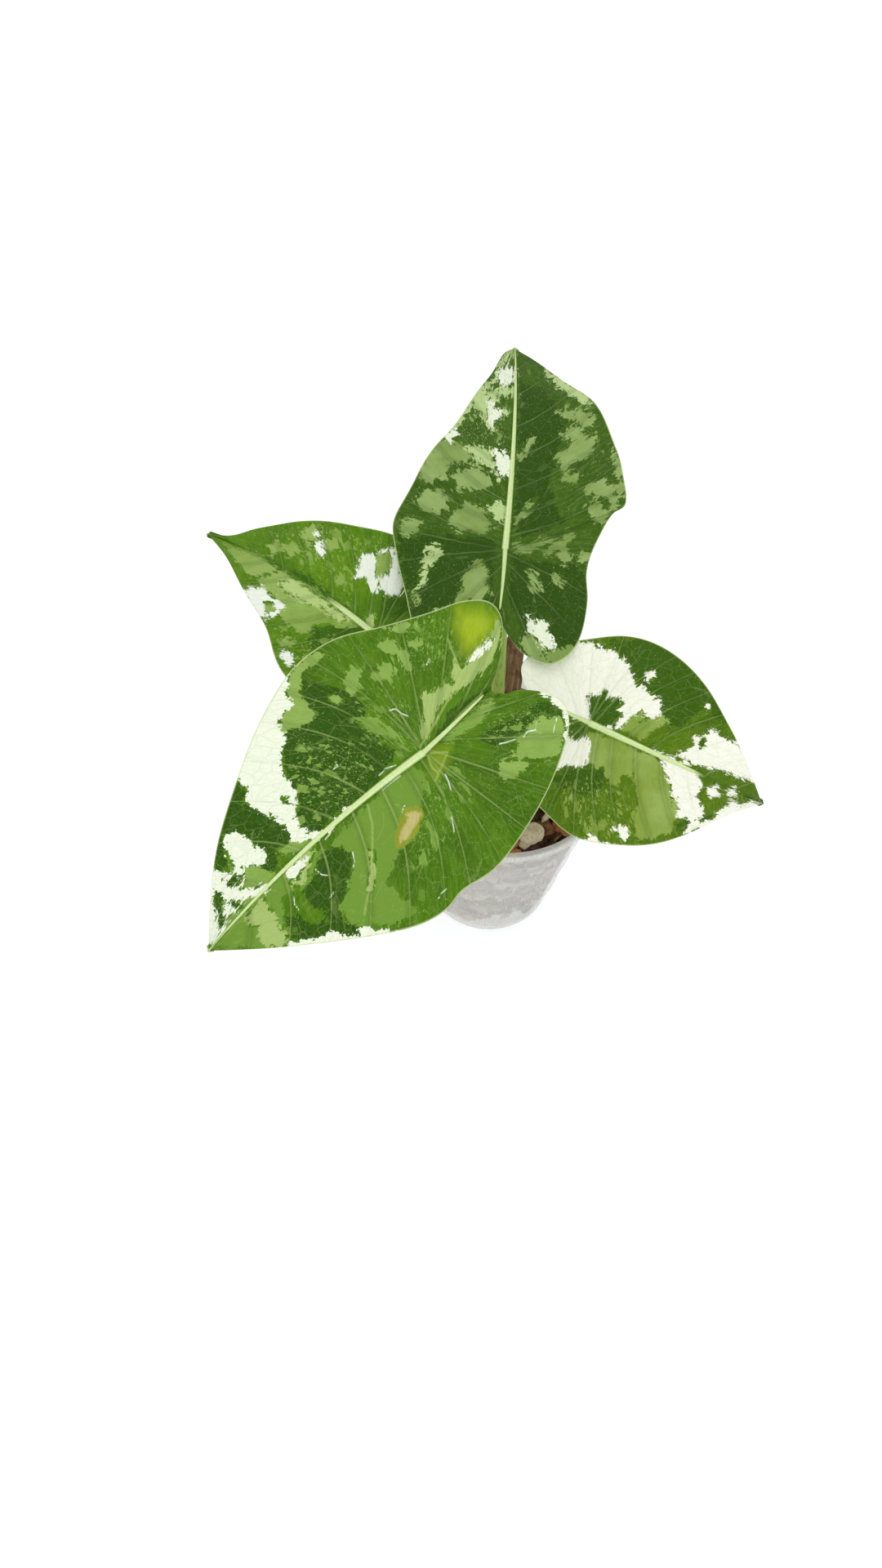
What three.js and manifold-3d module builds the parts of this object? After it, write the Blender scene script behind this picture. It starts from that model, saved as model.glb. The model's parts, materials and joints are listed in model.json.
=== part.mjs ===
// Potted variegated frydek alocasia in a clear nursery cup.
// Millimetres, +Z up. The origin is the centre of the cup's flat base, on the surface it stands on.

import * as THREE from "three";
import { mergeVertices } from "three/addons/utils/BufferGeometryUtils.js";
import Module from "manifold-3d";

const wasm = await Module();
wasm.setup();

// Driving dimensions

const gap = 0.3;

const cup = {
  height: 104,
  rimRadius: 47.5,
  lipHeight: 4.5,
  wallTopRadius: 45.3,
  baseRadius: 29.5,
  footBevel: 1.5,
  wall: 1.0,
  floor: 1.2,
  ledgeHeight: 90,
  ledgeStep: 0.9,
  ribHeights: [24, 46, 68],
  ribRelief: 0.5,
  ribHalfWidth: 1.6,
  segments: 40,
  drainRadius: 2.5,
  drainRing: 18,
  drainCount: 5,
  drainSides: 12,
};

const soil = {
  edgeHeight: 93.5,
  crownHeight: 98,
  lumpHeight: 0.9,
  lumpSize: 17,
  footBevel: 2.2,
  sideDent: 0.008,
  sideDentSize: 13,
  segments: 36,
  lumpCount: 22,
  lumpRadius: 3.6,
};

const crown = {
  x: -6,
  y: 0,
  bottom: 80,
  shoulder: 100,
  top: 105,
  radius: 12.5,
  topRadius: 10.6,
  segments: 20,
  socketRing: 6.2,
  socketFloor: 92,
};

const stalk = {
  footRadius: 2.4,
  baseRadius: 3.1,
  tipRadius: 2.1,
  flareRadius: 2.6,
  lean: 12,
  sides: 8,
  steps: 13,
};

const blade = {
  thickness: 0.9,
  marginThickness: 0.7,
  ribDepth: 1.3,
  foldSoftness: 4,
  stations: 28,
  across: 5,
  acrossPower: 1.25,
  fanStart: 0.48,
  fanPower: 1.5,
  lobePower: 3,
  lobeReach: 40,
  ripplePhase: { left: 0.6, right: 2.4 },
};

// Each leaf lies in a frame of its own: x runs from the joint with the stalk to the tip, z is the upper
// normal. An outline half runs from the apex of the sinus round the lobe and along the side to the tip.

const leaves = [
  {
    name: "front",
    joint: [-31, -81, 230],
    azimuth: -137.3,
    elevation: -21.2,
    roll: -24,
    length: 90,
    sinus: 28.6,
    sinusDrift: -0.6,
    bow: -3.5,
    arch: 5,
    lobeLift: 5,
    fold: 0.1,
    curl: 4,
    wave: 1.1,
    waveCount: 4.5,
    socketAzimuth: -110,
    left: [[-29.3, 2.8], [-35, 5.8], [-41, 12.6], [-42.6, 18], [-40.2, 23.5], [-27, 32], [-10, 38.4],
      [8, 41.2], [20.5, 39.3], [27.5, 40.2], [36, 38.3], [53, 28.2], [71.5, 15], [84, 5]],
    right: [[-31.5, -1.8], [-39.5, -7], [-46.6, -15], [-46.8, -20.5], [-41.5, -25.9], [-32, -30.3],
      [-17.6, -37.3], [-2.4, -44.7], [12, -46.2], [27, -42], [46, -33.2], [66, -21.4], [82, -8]],
  },
  {
    name: "back",
    joint: [-8, 19, 212],
    azimuth: 89.8,
    elevation: -1.2,
    roll: -2.5,
    length: 107,
    sinus: 28,
    sinusDrift: 1,
    bow: -1.2,
    arch: 5,
    lobeLift: 3,
    fold: 0.16,
    curl: 5,
    wave: 1.3,
    waveCount: 5,
    socketAzimuth: 80,
    left: [[-37, 4.5], [-46, 12], [-48, 20], [-40, 28.5], [-19, 34.6], [-5, 38.6], [8.3, 40.7],
      [30, 33.6], [57.6, 20.8], [85, 9.6], [104.5, 3.4]],
    right: [[-35, -2], [-44, -8.5], [-48.3, -17], [-45.5, -22.5], [-38, -26.8], [-20.8, -29.7],
      [-9, -29.2], [5, -33], [17, -38.3], [20.6, -42.6], [33, -41.7], [48, -39.3], [68.5, -32],
      [84, -19.5], [103.5, -2.9]],
  },
  {
    name: "left",
    joint: [-52, -6, 189],
    azimuth: 140.7,
    elevation: -11.6,
    roll: -24.2,
    length: 95,
    sinus: 22,
    sinusDrift: 0,
    bow: -2.7,
    arch: 4,
    lobeLift: 3,
    fold: 0.16,
    curl: 4,
    wave: 1.2,
    waveCount: 4,
    socketAzimuth: 178,
    left: [[-29, 4], [-34, 12], [-32, 21], [-20, 29], [0, 33.5], [20, 30.5], [40, 19.5], [55, 13.5],
      [79, 4]],
    right: [[-29, -4], [-34, -12], [-31, -22], [-17, -31], [0, -35], [15, -34.5], [39, -29], [54, -22],
      [73, -11.5], [82, -4.5]],
  },
  {
    name: "right",
    joint: [25, -39, 191],
    azimuth: -6.9,
    elevation: -25.3,
    roll: 38.1,
    length: 75,
    sinus: 18,
    sinusDrift: 0,
    bow: 0,
    arch: 5,
    lobeLift: 4,
    fold: 0.12,
    curl: 5,
    wave: 1.0,
    waveCount: 4,
    socketAzimuth: -43,
    left: [[-25, 2], [-29.5, 8], [-27, 15], [-13, 26], [0, 33], [12, 34.5], [32, 29], [47, 19.5],
      [62, 9.5]],
    right: [[-25, -5], [-30, -13], [-27, -22], [-15, -29.5], [-3, -34], [12, -38.3], [33, -33],
      [50, -21.5], [63, -9]],
  },
];

const oldSheaths = [
  { name: "back", azimuth: 74, height: 84, spread: 48, lean: 17, curlIn: 0.3 },
  { name: "left", azimuth: 215, height: 40, spread: 34, lean: 9, curlIn: 0.3 },
  { name: "front", azimuth: -78, height: 27, spread: 30, lean: 7, curlIn: 0.25 },
];

const sheath = {
  thickness: 0.8,
  rootHeight: 89,
  lengthwise: 9,
  around: 6,
  narrowing: 0.72,
  narrowingPower: 1.6,
  leanPower: 1.7,
  cornerDrop: 0.07,
  edgeGrowth: 8,
  slack: 0.15,
};

// Loose pieces on the mix: angle and radius about the cup's axis, and half sizes along their own axes.

const pumiceLumps = [
  { angle: -67, ring: 34, half: [5.4, 4.4, 4.4] },
  { angle: -98, ring: 34, half: [4.2, 3.6, 3.4] },
  { angle: 22, ring: 35, half: [4.6, 3.8, 3.6] },
  { angle: 128, ring: 35, half: [4.4, 3.6, 3.4] },
  { angle: 196, ring: 36, half: [3.6, 3.2, 3.0] },
  { angle: -142, ring: 34, half: [4.8, 4.0, 3.8] },
];

const barkChips = [
  { angle: -43, ring: 35, half: [5.2, 3.6, 2.3] },
  { angle: -12, ring: 29, half: [6.0, 3.8, 2.1] },
  { angle: 52, ring: 33, half: [5.4, 3.4, 2.2] },
  { angle: 95, ring: 34, half: [5.6, 3.6, 2.0] },
  { angle: 160, ring: 34, half: [5.0, 3.4, 2.0] },
  { angle: -120, ring: 31, half: [4.6, 3.2, 2.0] },
];

const loosePieces = [
  ...pumiceLumps.map((item, i) => ({ ...item, name: `pumice_${i + 1}`, finish: "pumice", seed: i + 1 })),
  ...barkChips.map((item, i) => ({ ...item, name: `bark_${i + 1}`, finish: "bark", seed: i + 21 })),
];

const chunk = {
  knobHeight: 0.16,
  knobSize: 1.9,
  squareness: 0.45,
  tilt: 0.5,
  standProud: 0.45,
};

// Colours

const finishes = {
  cup: { color: 0xd9d6da, roughness: 0.3 },
  mix: { color: 0x4a3626, roughness: 0.95 },
  crown: { color: 0x8c7a4a, roughness: 0.7 },
  stalk: { color: 0x9ab85a, roughness: 0.45 },
  blade: { color: 0x4f7f2e, roughness: 0.45 },
  oldSheath: { color: 0x7a5743, roughness: 0.8 },
  pumice: { color: 0xe0d5bf, roughness: 0.9 },
  bark: { color: 0xa06a3c, roughness: 0.9 },
};

// Small helpers

const radians = THREE.MathUtils.degToRad;
const lerp = THREE.MathUtils.lerp;
const clamp = THREE.MathUtils.clamp;

function seededRandom(seed) {
  let state = seed;
  return () => {
    state = (state * 1664525 + 1013904223) % 4294967296;
    return state / 4294967296;
  };
}

// A smooth bumpy value between about -1 and 1 anywhere in space, with bumps about `size` apart.
function bumps(x, y, z, size) {
  const k = (2 * Math.PI) / size;
  const a = Math.sin(k * (x + 0.6 * y) + 1.3);
  const b = Math.sin(k * (0.8 * y - 0.5 * z) + 4.1);
  const c = Math.sin(k * (0.9 * z + 0.4 * x - 0.3 * y) + 2.2);
  return (a + b + c) / 3;
}

function mesh(name, geometry, finish) {
  const material = new THREE.MeshStandardMaterial({ ...finishes[finish], metalness: 0 });
  const piece = new THREE.Mesh(geometry, material);
  piece.name = name;
  return piece;
}

function sealed(geometry) {
  geometry.deleteAttribute("normal");
  geometry.deleteAttribute("uv");
  return mergeVertices(geometry, 1e-4);
}

// A closed outline of [radius, height] pairs turned about the vertical axis.
function turned(profile, segments) {
  const lathe = new THREE.LatheGeometry(profile.map(([r, z]) => new THREE.Vector2(r, z)), segments);
  lathe.rotateX(Math.PI / 2);
  return sealed(lathe);
}

function fromTriangles(corners) {
  const geometry = new THREE.BufferGeometry();
  geometry.setAttribute("position", new THREE.Float32BufferAttribute(corners.flatMap((p) => p.toArray()), 3));
  return mergeVertices(geometry, 1e-4);
}

function moveVertices(geometry, move) {
  const position = geometry.attributes.position;
  const point = new THREE.Vector3();
  for (let i = 0; i < position.count; i += 1) {
    point.fromBufferAttribute(position, i);
    move(point);
    position.setXYZ(i, point.x, point.y, point.z);
  }
  return geometry;
}

// Joining and cutting solids

function toSolid(geometry) {
  return new wasm.Manifold(new wasm.Mesh({
    numProp: 3,
    vertProperties: Float32Array.from(geometry.attributes.position.array),
    triVerts: Uint32Array.from(geometry.index.array),
  }));
}

function fromSolid(solid) {
  const result = solid.getMesh();
  const geometry = new THREE.BufferGeometry();
  geometry.setAttribute("position", new THREE.BufferAttribute(result.vertProperties, 3));
  geometry.setIndex(new THREE.BufferAttribute(result.triVerts, 1));
  return geometry;
}

// Nursery cup

function cupRadius(z) {
  const taper = (cup.wallTopRadius - cup.ledgeStep - cup.baseRadius) / (cup.height - cup.floor);
  const ledge = z >= cup.ledgeHeight ? cup.ledgeStep : 0;
  return cup.baseRadius + taper * (z - cup.floor) + ledge;
}

function cupWallStations() {
  const stations = [[cup.floor, 0]];
  for (const z of cup.ribHeights) {
    stations.push([z - cup.ribHalfWidth, 0], [z, cup.ribRelief], [z + cup.ribHalfWidth, 0]);
  }
  stations.push([cup.ledgeHeight - 1, 0], [cup.ledgeHeight, 0]);
  return stations;
}

function cupGeometry() {
  const lip = cup.height - cup.lipHeight;
  const outer = cupWallStations().map(([z, relief]) => [cupRadius(z) + relief, z]);
  const innerHeights = [cup.ledgeHeight + 0.2, cup.ledgeHeight - 0.8, cup.floor + 1.2];
  const inner = innerHeights.map((z) => [cupRadius(z) - cup.wall, z]);
  const rim = [
    [cupRadius(lip), lip],
    [cup.rimRadius - 0.5, lip + 0.4],
    [cup.rimRadius, lip + 1.4],
    [cup.rimRadius, cup.height - 1.2],
    [cup.rimRadius - 1.1, cup.height],
    [cup.rimRadius - 2.4, cup.height],
    [cupRadius(lip) - cup.wall, lip + 2.2],
  ];
  const profile = [
    [0, 0],
    [cup.baseRadius - cup.footBevel, 0],
    ...outer,
    ...rim,
    ...inner,
    [cup.baseRadius - cup.wall - cup.footBevel, cup.floor],
    [0, cup.floor],
  ];
  let solid = toSolid(turned(profile, cup.segments));
  for (let i = 0; i < cup.drainCount; i += 1) {
    const angle = (i * 2 * Math.PI) / cup.drainCount;
    const hole = new THREE.CylinderGeometry(cup.drainRadius, cup.drainRadius, 4 * cup.floor, cup.drainSides);
    hole.rotateX(Math.PI / 2);
    hole.translate(cup.drainRing * Math.cos(angle), cup.drainRing * Math.sin(angle), 0);
    solid = solid.subtract(toSolid(sealed(hole)));
  }
  return fromSolid(solid);
}

// Crown: the short stem that everything grows from

function crownGeometry(grow) {
  const r = crown.radius + grow;
  const profile = [
    [0, crown.bottom - grow],
    [r * 0.55, crown.bottom - grow],
    [r * 0.9, crown.bottom + 5],
    [r, crown.bottom + 11],
    [r, crown.shoulder],
    [crown.topRadius + grow, crown.top - 1],
    [crown.topRadius * 0.7, crown.top + grow],
    [0, crown.top + grow],
  ];
  const lathe = turned(profile, crown.segments);
  lathe.translate(crown.x, crown.y, 0);
  return lathe;
}

// Leaf frames, midribs and the curved surface of a blade

function leafTurn(leaf) {
  return new THREE.Euler(radians(leaf.roll), radians(-leaf.elevation), radians(leaf.azimuth), "ZYX");
}

function leafMatrix(leaf) {
  return new THREE.Matrix4().makeRotationFromEuler(leafTurn(leaf)).setPosition(...leaf.joint);
}

function midribOffset(leaf, u) {
  if (u < 0) {
    return leaf.sinusDrift * (u / leaf.sinus) ** 2;
  }
  const along = u / leaf.length;
  return 4 * leaf.bow * along * (1 - along);
}

function surfaceHeight(leaf, u, v) {
  const along = u / leaf.length;
  const side = v - midribOffset(leaf, u);
  const arch = 4 * leaf.arch * along * (1 - along);
  const lobe = u < 0 ? leaf.lobeLift * (u / blade.lobeReach) ** 2 + 4 * leaf.arch * along ** 2 : 0;
  const fold = leaf.fold * (Math.hypot(side, blade.foldSoftness) - blade.foldSoftness);
  const curl = leaf.curl * (side / blade.lobeReach) ** 2;
  return arch + lobe + fold - curl;
}

function outlineCurve(leaf, points) {
  const ends = [[-leaf.sinus, leaf.sinusDrift], ...points, [leaf.length, 0]];
  return new THREE.CatmullRomCurve3(ends.map(([u, v]) => new THREE.Vector3(u, v, 0)), false, "centripetal");
}

// Where the vein that ends at fraction s of the outline leaves the midrib.
function veinFoot(leaf, s) {
  if (s < blade.fanStart) {
    return -leaf.sinus * (1 - s / blade.fanStart) ** blade.lobePower;
  }
  return leaf.length * ((s - blade.fanStart) / (1 - blade.fanStart)) ** blade.fanPower;
}

function ribThickness(leaf, u) {
  const reach = u < 0 ? 1 + u / leaf.sinus : 1 - u / leaf.length;
  return blade.ribDepth * Math.sqrt(clamp(reach, 0, 1));
}

// Upper and lower surface points at fraction s along one half's outline and t from midrib to margin.
function bladePoints(leaf, curve, s, t, phase) {
  const footU = veinFoot(leaf, s);
  const foot = new THREE.Vector3(footU, midribOffset(leaf, footU), 0);
  const point = foot.lerp(curve.getPointAt(s), t);
  const rippleSize = leaf.wave * t ** 3 * Math.sin(Math.PI * s);
  const ripple = rippleSize * Math.sin(2 * Math.PI * leaf.waveCount * s + phase);
  const upper = point.clone().setZ(surfaceHeight(leaf, point.x, point.y) + ripple);
  const rib = t === 0 ? ribThickness(leaf, footU) : 0;
  const atMargin = s === 0 || s === 1 ? 1 : t;
  const lower = upper.clone();
  lower.z -= lerp(blade.thickness, blade.marginThickness, atMargin) + rib;
  return { upper, lower };
}

function bladeGeometry(leaf) {
  const corners = [];
  const smallest = 1e-6;
  const triangle = (a, b, c) => {
    const area = b.clone().sub(a).cross(c.clone().sub(a)).length();
    if (area > smallest) {
      corners.push(a, b, c);
    }
  };
  const acrossAt = (j) => (j / blade.across) ** blade.acrossPower;
  for (const half of ["left", "right"]) {
    const left = half === "left";
    const curve = outlineCurve(leaf, leaf[half]);
    const phase = blade.ripplePhase[half];
    const grid = [];
    for (let i = 0; i <= blade.stations; i += 1) {
      const row = [];
      for (let j = 0; j <= blade.across; j += 1) {
        row.push(bladePoints(leaf, curve, i / blade.stations, acrossAt(j), phase));
      }
      grid.push(row);
    }
    const quad = (a, b, c, d) => {
      if (left) {
        triangle(a, b, c);
        triangle(a, c, d);
      } else {
        triangle(a, c, b);
        triangle(a, d, c);
      }
    };
    for (let i = 0; i < blade.stations; i += 1) {
      for (let j = 0; j < blade.across; j += 1) {
        const [a, b, c, d] = [grid[i][j], grid[i + 1][j], grid[i + 1][j + 1], grid[i][j + 1]];
        quad(a.upper, b.upper, c.upper, d.upper);
        if (left) {
          triangle(a.lower, c.lower, b.lower);
          triangle(a.lower, d.lower, c.lower);
        } else {
          triangle(a.lower, b.lower, c.lower);
          triangle(a.lower, c.lower, d.lower);
        }
      }
      const [start, end] = [grid[i][blade.across], grid[i + 1][blade.across]];
      quad(start.upper, end.upper, end.lower, start.lower);
    }
  }
  return fromTriangles(corners);
}

// Stalks

function stalkCurve(leaf) {
  const angle = radians(leaf.socketAzimuth);
  const outward = new THREE.Vector3(Math.cos(angle), Math.sin(angle), 0);
  const foot = new THREE.Vector3(crown.x, crown.y, crown.socketFloor);
  foot.addScaledVector(outward, crown.socketRing);
  const matrix = leafMatrix(leaf);
  const slope = (4 * leaf.arch) / leaf.length;
  const normal = new THREE.Vector3(-slope, 0, 1).normalize();
  const seat = -(blade.thickness + blade.ribDepth + gap);
  const top = normal.clone().multiplyScalar(seat).applyMatrix4(matrix);
  normal.transformDirection(matrix);
  const reach = foot.distanceTo(top) / 3;
  const rise = outward.clone().multiplyScalar(Math.tan(radians(stalk.lean))).setZ(1).normalize();
  const lowHandle = foot.clone().addScaledVector(rise, reach);
  const highHandle = top.clone().addScaledVector(normal, -reach);
  return new THREE.CubicBezierCurve3(foot, lowHandle, highHandle, top);
}

function stalkRadius(along) {
  const swell = THREE.MathUtils.smoothstep(along, 0, 0.14);
  const taper = THREE.MathUtils.smoothstep(along, 0.1, 0.8);
  const flare = THREE.MathUtils.smoothstep(along, 0.93, 1);
  const body = lerp(stalk.baseRadius, stalk.tipRadius, taper);
  return lerp(lerp(stalk.footRadius, body, swell), stalk.flareRadius, flare);
}

// A cylinder bent along the stalk's curve, on frames that turn as little as they can.
function stalkGeometry(leaf, grow) {
  const curve = stalkCurve(leaf);
  const frames = curve.computeFrenetFrames(stalk.steps, false);
  const tube = new THREE.CylinderGeometry(1, 1, 1, stalk.sides, stalk.steps);
  tube.rotateX(Math.PI / 2);
  const geometry = sealed(tube);
  return moveVertices(geometry, (point) => {
    const step = Math.round((point.z + 0.5) * stalk.steps);
    const along = step / stalk.steps;
    const centre = curve.getPointAt(along);
    const radius = stalkRadius(along) + grow;
    const end = step === 0 ? -grow : 0;
    const [x, y] = [point.x * radius, point.y * radius];
    point.copy(centre);
    point.addScaledVector(frames.normals[step], x);
    point.addScaledVector(frames.binormals[step], y);
    point.addScaledVector(frames.tangents[step], end);
  });
}

// Old dried sheaths that clasp the crown and splay outwards

function sheathPoint(old, along, around, offset) {
  const above = Math.max(along, 0);
  const width = old.spread * (1 - sheath.narrowing * above ** sheath.narrowingPower);
  const angle = radians(old.azimuth + around * width);
  const middle = radians(old.azimuth);
  const lean = old.lean * above ** sheath.leanPower;
  const clasp = crown.radius + gap + sheath.thickness / 2 + sheath.slack;
  const radius = clasp * (1 - old.curlIn * along) + offset;
  const top = old.height * along * (1 - sheath.cornerDrop * around ** 2 * along);
  const shift = lean + clasp * old.curlIn * along;
  return new THREE.Vector3(
    crown.x + radius * Math.cos(angle) + shift * Math.cos(middle),
    crown.y + radius * Math.sin(angle) + shift * Math.sin(middle),
    sheath.rootHeight + top,
  );
}

function sheathGeometry(old, grow) {
  const corners = [];
  const half = sheath.thickness / 2 + grow;
  const rise = 1 + grow / old.height;
  const at = (i, j, offset) => {
    const along = (i / sheath.lengthwise) * rise - (i === 0 ? grow / old.height : 0);
    const around = ((2 * j) / sheath.around - 1) * (1 + grow / sheath.edgeGrowth);
    return sheathPoint(old, along, around, offset);
  };
  const quad = (a, b, c, d) => corners.push(a, b, c, a, c, d);
  for (let i = 0; i < sheath.lengthwise; i += 1) {
    for (let j = 0; j < sheath.around; j += 1) {
      quad(at(i, j, half), at(i, j + 1, half), at(i + 1, j + 1, half), at(i + 1, j, half));
      quad(at(i, j, -half), at(i + 1, j, -half), at(i + 1, j + 1, -half), at(i, j + 1, -half));
    }
    quad(at(i, 0, -half), at(i, 0, half), at(i + 1, 0, half), at(i + 1, 0, -half));
    const last = sheath.around;
    quad(at(i, last, half), at(i, last, -half), at(i + 1, last, -half), at(i + 1, last, half));
  }
  for (let j = 0; j < sheath.around; j += 1) {
    const last = sheath.lengthwise;
    quad(at(0, j, -half), at(0, j + 1, -half), at(0, j + 1, half), at(0, j, half));
    quad(at(last, j, half), at(last, j + 1, half), at(last, j + 1, -half), at(last, j, -half));
  }
  return fromTriangles(corners);
}

// Potting mix with what lies on it

function soilHeight(x, y) {
  const fromCrown = Math.hypot(x - crown.x, y - crown.y);
  const mound = clamp(1 - (fromCrown - crown.radius) / (cup.rimRadius - crown.radius), 0, 1);
  return lerp(soil.edgeHeight, soil.crownHeight, mound) + soil.lumpHeight * bumps(x, y, 0, soil.lumpSize);
}

function soilBody() {
  const wallRadius = (z) => cupRadius(z) - cup.wall - gap;
  const corner = cup.floor + gap;
  const footTop = corner + soil.footBevel;
  const shoulder = cup.ledgeHeight - 1;
  const slack = 0.1;
  const sideHeights = [footTop, 20, 38, 56, 74, shoulder];
  const side = sideHeights.map((z) => [wallRadius(z) - slack, z]);
  const topRadius = wallRadius(shoulder) - slack;
  const rings = [1, 0.9, 0.76, 0.62, 0.46, 0.3, 0.14];
  const top = rings.map((ring) => [topRadius * ring, soil.edgeHeight]);
  const foot = [[0, corner], [wallRadius(corner) - soil.footBevel, corner]];
  const profile = [...foot, ...side, ...top, [0, soil.edgeHeight]];
  return moveVertices(turned(profile, soil.segments), (point) => {
    if (point.z > cup.ledgeHeight) {
      point.z = soilHeight(point.x, point.y);
    } else if (point.z > footTop) {
      const dent = 1 - soil.sideDent * (1 + bumps(point.x, point.y, point.z, soil.sideDentSize));
      point.x *= dent;
      point.y *= dent;
    }
  });
}

// A rounded angular stone or chip about its own centre.
function chunkGeometry(half, seed, detail, grow) {
  const ball = sealed(new THREE.IcosahedronGeometry(1, detail));
  return moveVertices(ball, (point) => {
    const knobs = 1 + chunk.knobHeight * bumps(point.x + seed, point.y, point.z - seed, chunk.knobSize);
    const largest = Math.max(Math.abs(point.x), Math.abs(point.y), Math.abs(point.z));
    point.multiplyScalar(knobs / largest ** chunk.squareness);
    point.x *= half[0] + grow;
    point.y *= half[1] + grow;
    point.z *= half[2] + grow;
  });
}

function placeChunk(geometry, x, y, z, seed) {
  const random = seededRandom(seed);
  const tilt = () => (random() - 0.5) * chunk.tilt;
  const turn = new THREE.Euler(tilt(), tilt(), random() * Math.PI * 2);
  geometry.applyMatrix4(new THREE.Matrix4().makeRotationFromEuler(turn).setPosition(x, y, z));
  return geometry;
}

function loosePlace(item) {
  return [item.ring * Math.cos(radians(item.angle)), item.ring * Math.sin(radians(item.angle))];
}

function looseGeometry(item, grow) {
  const [x, y] = loosePlace(item);
  const z = soilHeight(x, y) + item.half[2] * chunk.standProud;
  return placeChunk(chunkGeometry(item.half, item.seed, 1, grow), x, y, z, item.seed);
}

// The small lumps stay clear of the crown, the old sheaths and the loose pieces.
function lumpIsFree(x, y, radius) {
  const fromCrown = Math.hypot(x - crown.x, y - crown.y);
  const clearOfCrown = fromCrown > crown.radius + radius + 3;
  const insideCup = Math.hypot(x, y) < cupRadius(soil.edgeHeight) - cup.wall - radius - 1.5;
  const clearOfLoose = loosePieces.every((item) => {
    const [itemX, itemY] = loosePlace(item);
    return Math.hypot(x - itemX, y - itemY) > Math.max(...item.half) + radius + 2 * gap;
  });
  return clearOfCrown && insideCup && clearOfLoose;
}

function soilGeometry() {
  let solid = toSolid(soilBody());
  const random = seededRandom(7);
  let placed = 0;
  while (placed < soil.lumpCount) {
    const radius = soil.lumpRadius * lerp(0.6, 1, random());
    const ring = cup.rimRadius * Math.sqrt(random());
    const angle = 2 * Math.PI * random();
    const [x, y] = [ring * Math.cos(angle), ring * Math.sin(angle)];
    if (lumpIsFree(x, y, radius)) {
      const lump = chunkGeometry([radius * 1.2, radius * 0.8, radius * 0.6], placed, 0, 0);
      solid = solid.add(toSolid(placeChunk(lump, x, y, soilHeight(x, y) + 0.3 * radius, placed + 50)));
      placed += 1;
    }
  }
  solid = solid.subtract(toSolid(crownGeometry(gap)));
  for (const old of oldSheaths) {
    solid = solid.subtract(toSolid(sheathGeometry(old, gap)));
  }
  for (const item of loosePieces) {
    solid = solid.subtract(toSolid(looseGeometry(item, gap)));
  }
  return fromSolid(solid);
}

// Assembly

function crownWithSockets() {
  let solid = toSolid(crownGeometry(0));
  for (const leaf of leaves) {
    solid = solid.subtract(toSolid(stalkGeometry(leaf, gap)));
  }
  return fromSolid(solid);
}

function leafGroup(leaf) {
  const piece = mesh(`blade_${leaf.name}`, bladeGeometry(leaf), "blade");
  piece.position.set(...leaf.joint);
  piece.rotation.copy(leafTurn(leaf));
  const group = new THREE.Group();
  group.add(piece, mesh(`petiole_${leaf.name}`, stalkGeometry(leaf, 0), "stalk"));
  return group;
}

const plant = new THREE.Group();
plant.add(mesh("cup", cupGeometry(), "cup"));
plant.add(mesh("potting_mix", soilGeometry(), "mix"));
plant.add(mesh("crown", crownWithSockets(), "crown"));
for (const leaf of leaves) {
  plant.add(leafGroup(leaf));
}
for (const old of oldSheaths) {
  plant.add(mesh(`old_sheath_${old.name}`, sheathGeometry(old, 0), "oldSheath"));
}
for (const item of loosePieces) {
  plant.add(mesh(item.name, looseGeometry(item, 0), item.finish));
}

export default plant;
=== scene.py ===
# %% [markdown]
# A potted variegated alocasia: four arrow-shaped leaves, green with sage and cream sectors, on slender
# stalks in a clear nursery cup of chunky mix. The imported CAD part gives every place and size. This script
# dresses it: fine blades with veins and markings, stalks, papery sheaths, the cup and what it holds.

# %% Load the frame
import json
import math

import bpy
import numpy as np
from mathutils import Matrix, Vector

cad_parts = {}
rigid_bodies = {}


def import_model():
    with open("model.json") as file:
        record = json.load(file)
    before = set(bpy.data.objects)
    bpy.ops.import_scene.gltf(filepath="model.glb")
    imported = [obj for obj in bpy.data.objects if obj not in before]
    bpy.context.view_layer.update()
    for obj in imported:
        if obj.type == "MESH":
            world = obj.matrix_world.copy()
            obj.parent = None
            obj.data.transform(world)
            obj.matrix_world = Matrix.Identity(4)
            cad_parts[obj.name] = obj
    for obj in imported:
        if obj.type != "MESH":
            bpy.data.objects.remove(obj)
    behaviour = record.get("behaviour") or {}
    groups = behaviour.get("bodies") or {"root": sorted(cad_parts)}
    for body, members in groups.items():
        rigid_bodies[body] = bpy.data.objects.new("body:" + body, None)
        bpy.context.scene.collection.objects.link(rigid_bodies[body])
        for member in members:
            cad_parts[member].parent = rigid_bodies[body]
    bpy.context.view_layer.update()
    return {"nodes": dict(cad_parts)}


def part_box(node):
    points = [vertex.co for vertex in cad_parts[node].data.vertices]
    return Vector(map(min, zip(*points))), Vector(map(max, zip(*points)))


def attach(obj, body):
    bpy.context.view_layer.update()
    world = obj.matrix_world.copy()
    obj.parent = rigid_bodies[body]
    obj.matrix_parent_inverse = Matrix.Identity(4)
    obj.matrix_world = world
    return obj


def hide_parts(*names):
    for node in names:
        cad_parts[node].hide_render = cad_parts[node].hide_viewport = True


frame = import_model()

MM = 0.001
print("CAD nodes:", len(frame["nodes"]))

# %% [markdown]
# The camera comes first, because the markings on the leaves are placed by where they lie in the photograph.
# A lens of 32 mm on a frame 36 mm tall looks down at the plant from the front, with a slight roll. A camera
# could also be aimed with a Track To constraint; a place and three angles are plainer and can be repeated.

# %% Camera
photo_size = (1080, 1920)
lens_mm = 32
frame_height_mm = 36
camera_place = Vector((-0.025, -0.3138, 0.5919))
looking_down = math.radians(58.5)
camera_roll = math.radians(4)
nearest_seen = 0.01

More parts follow.
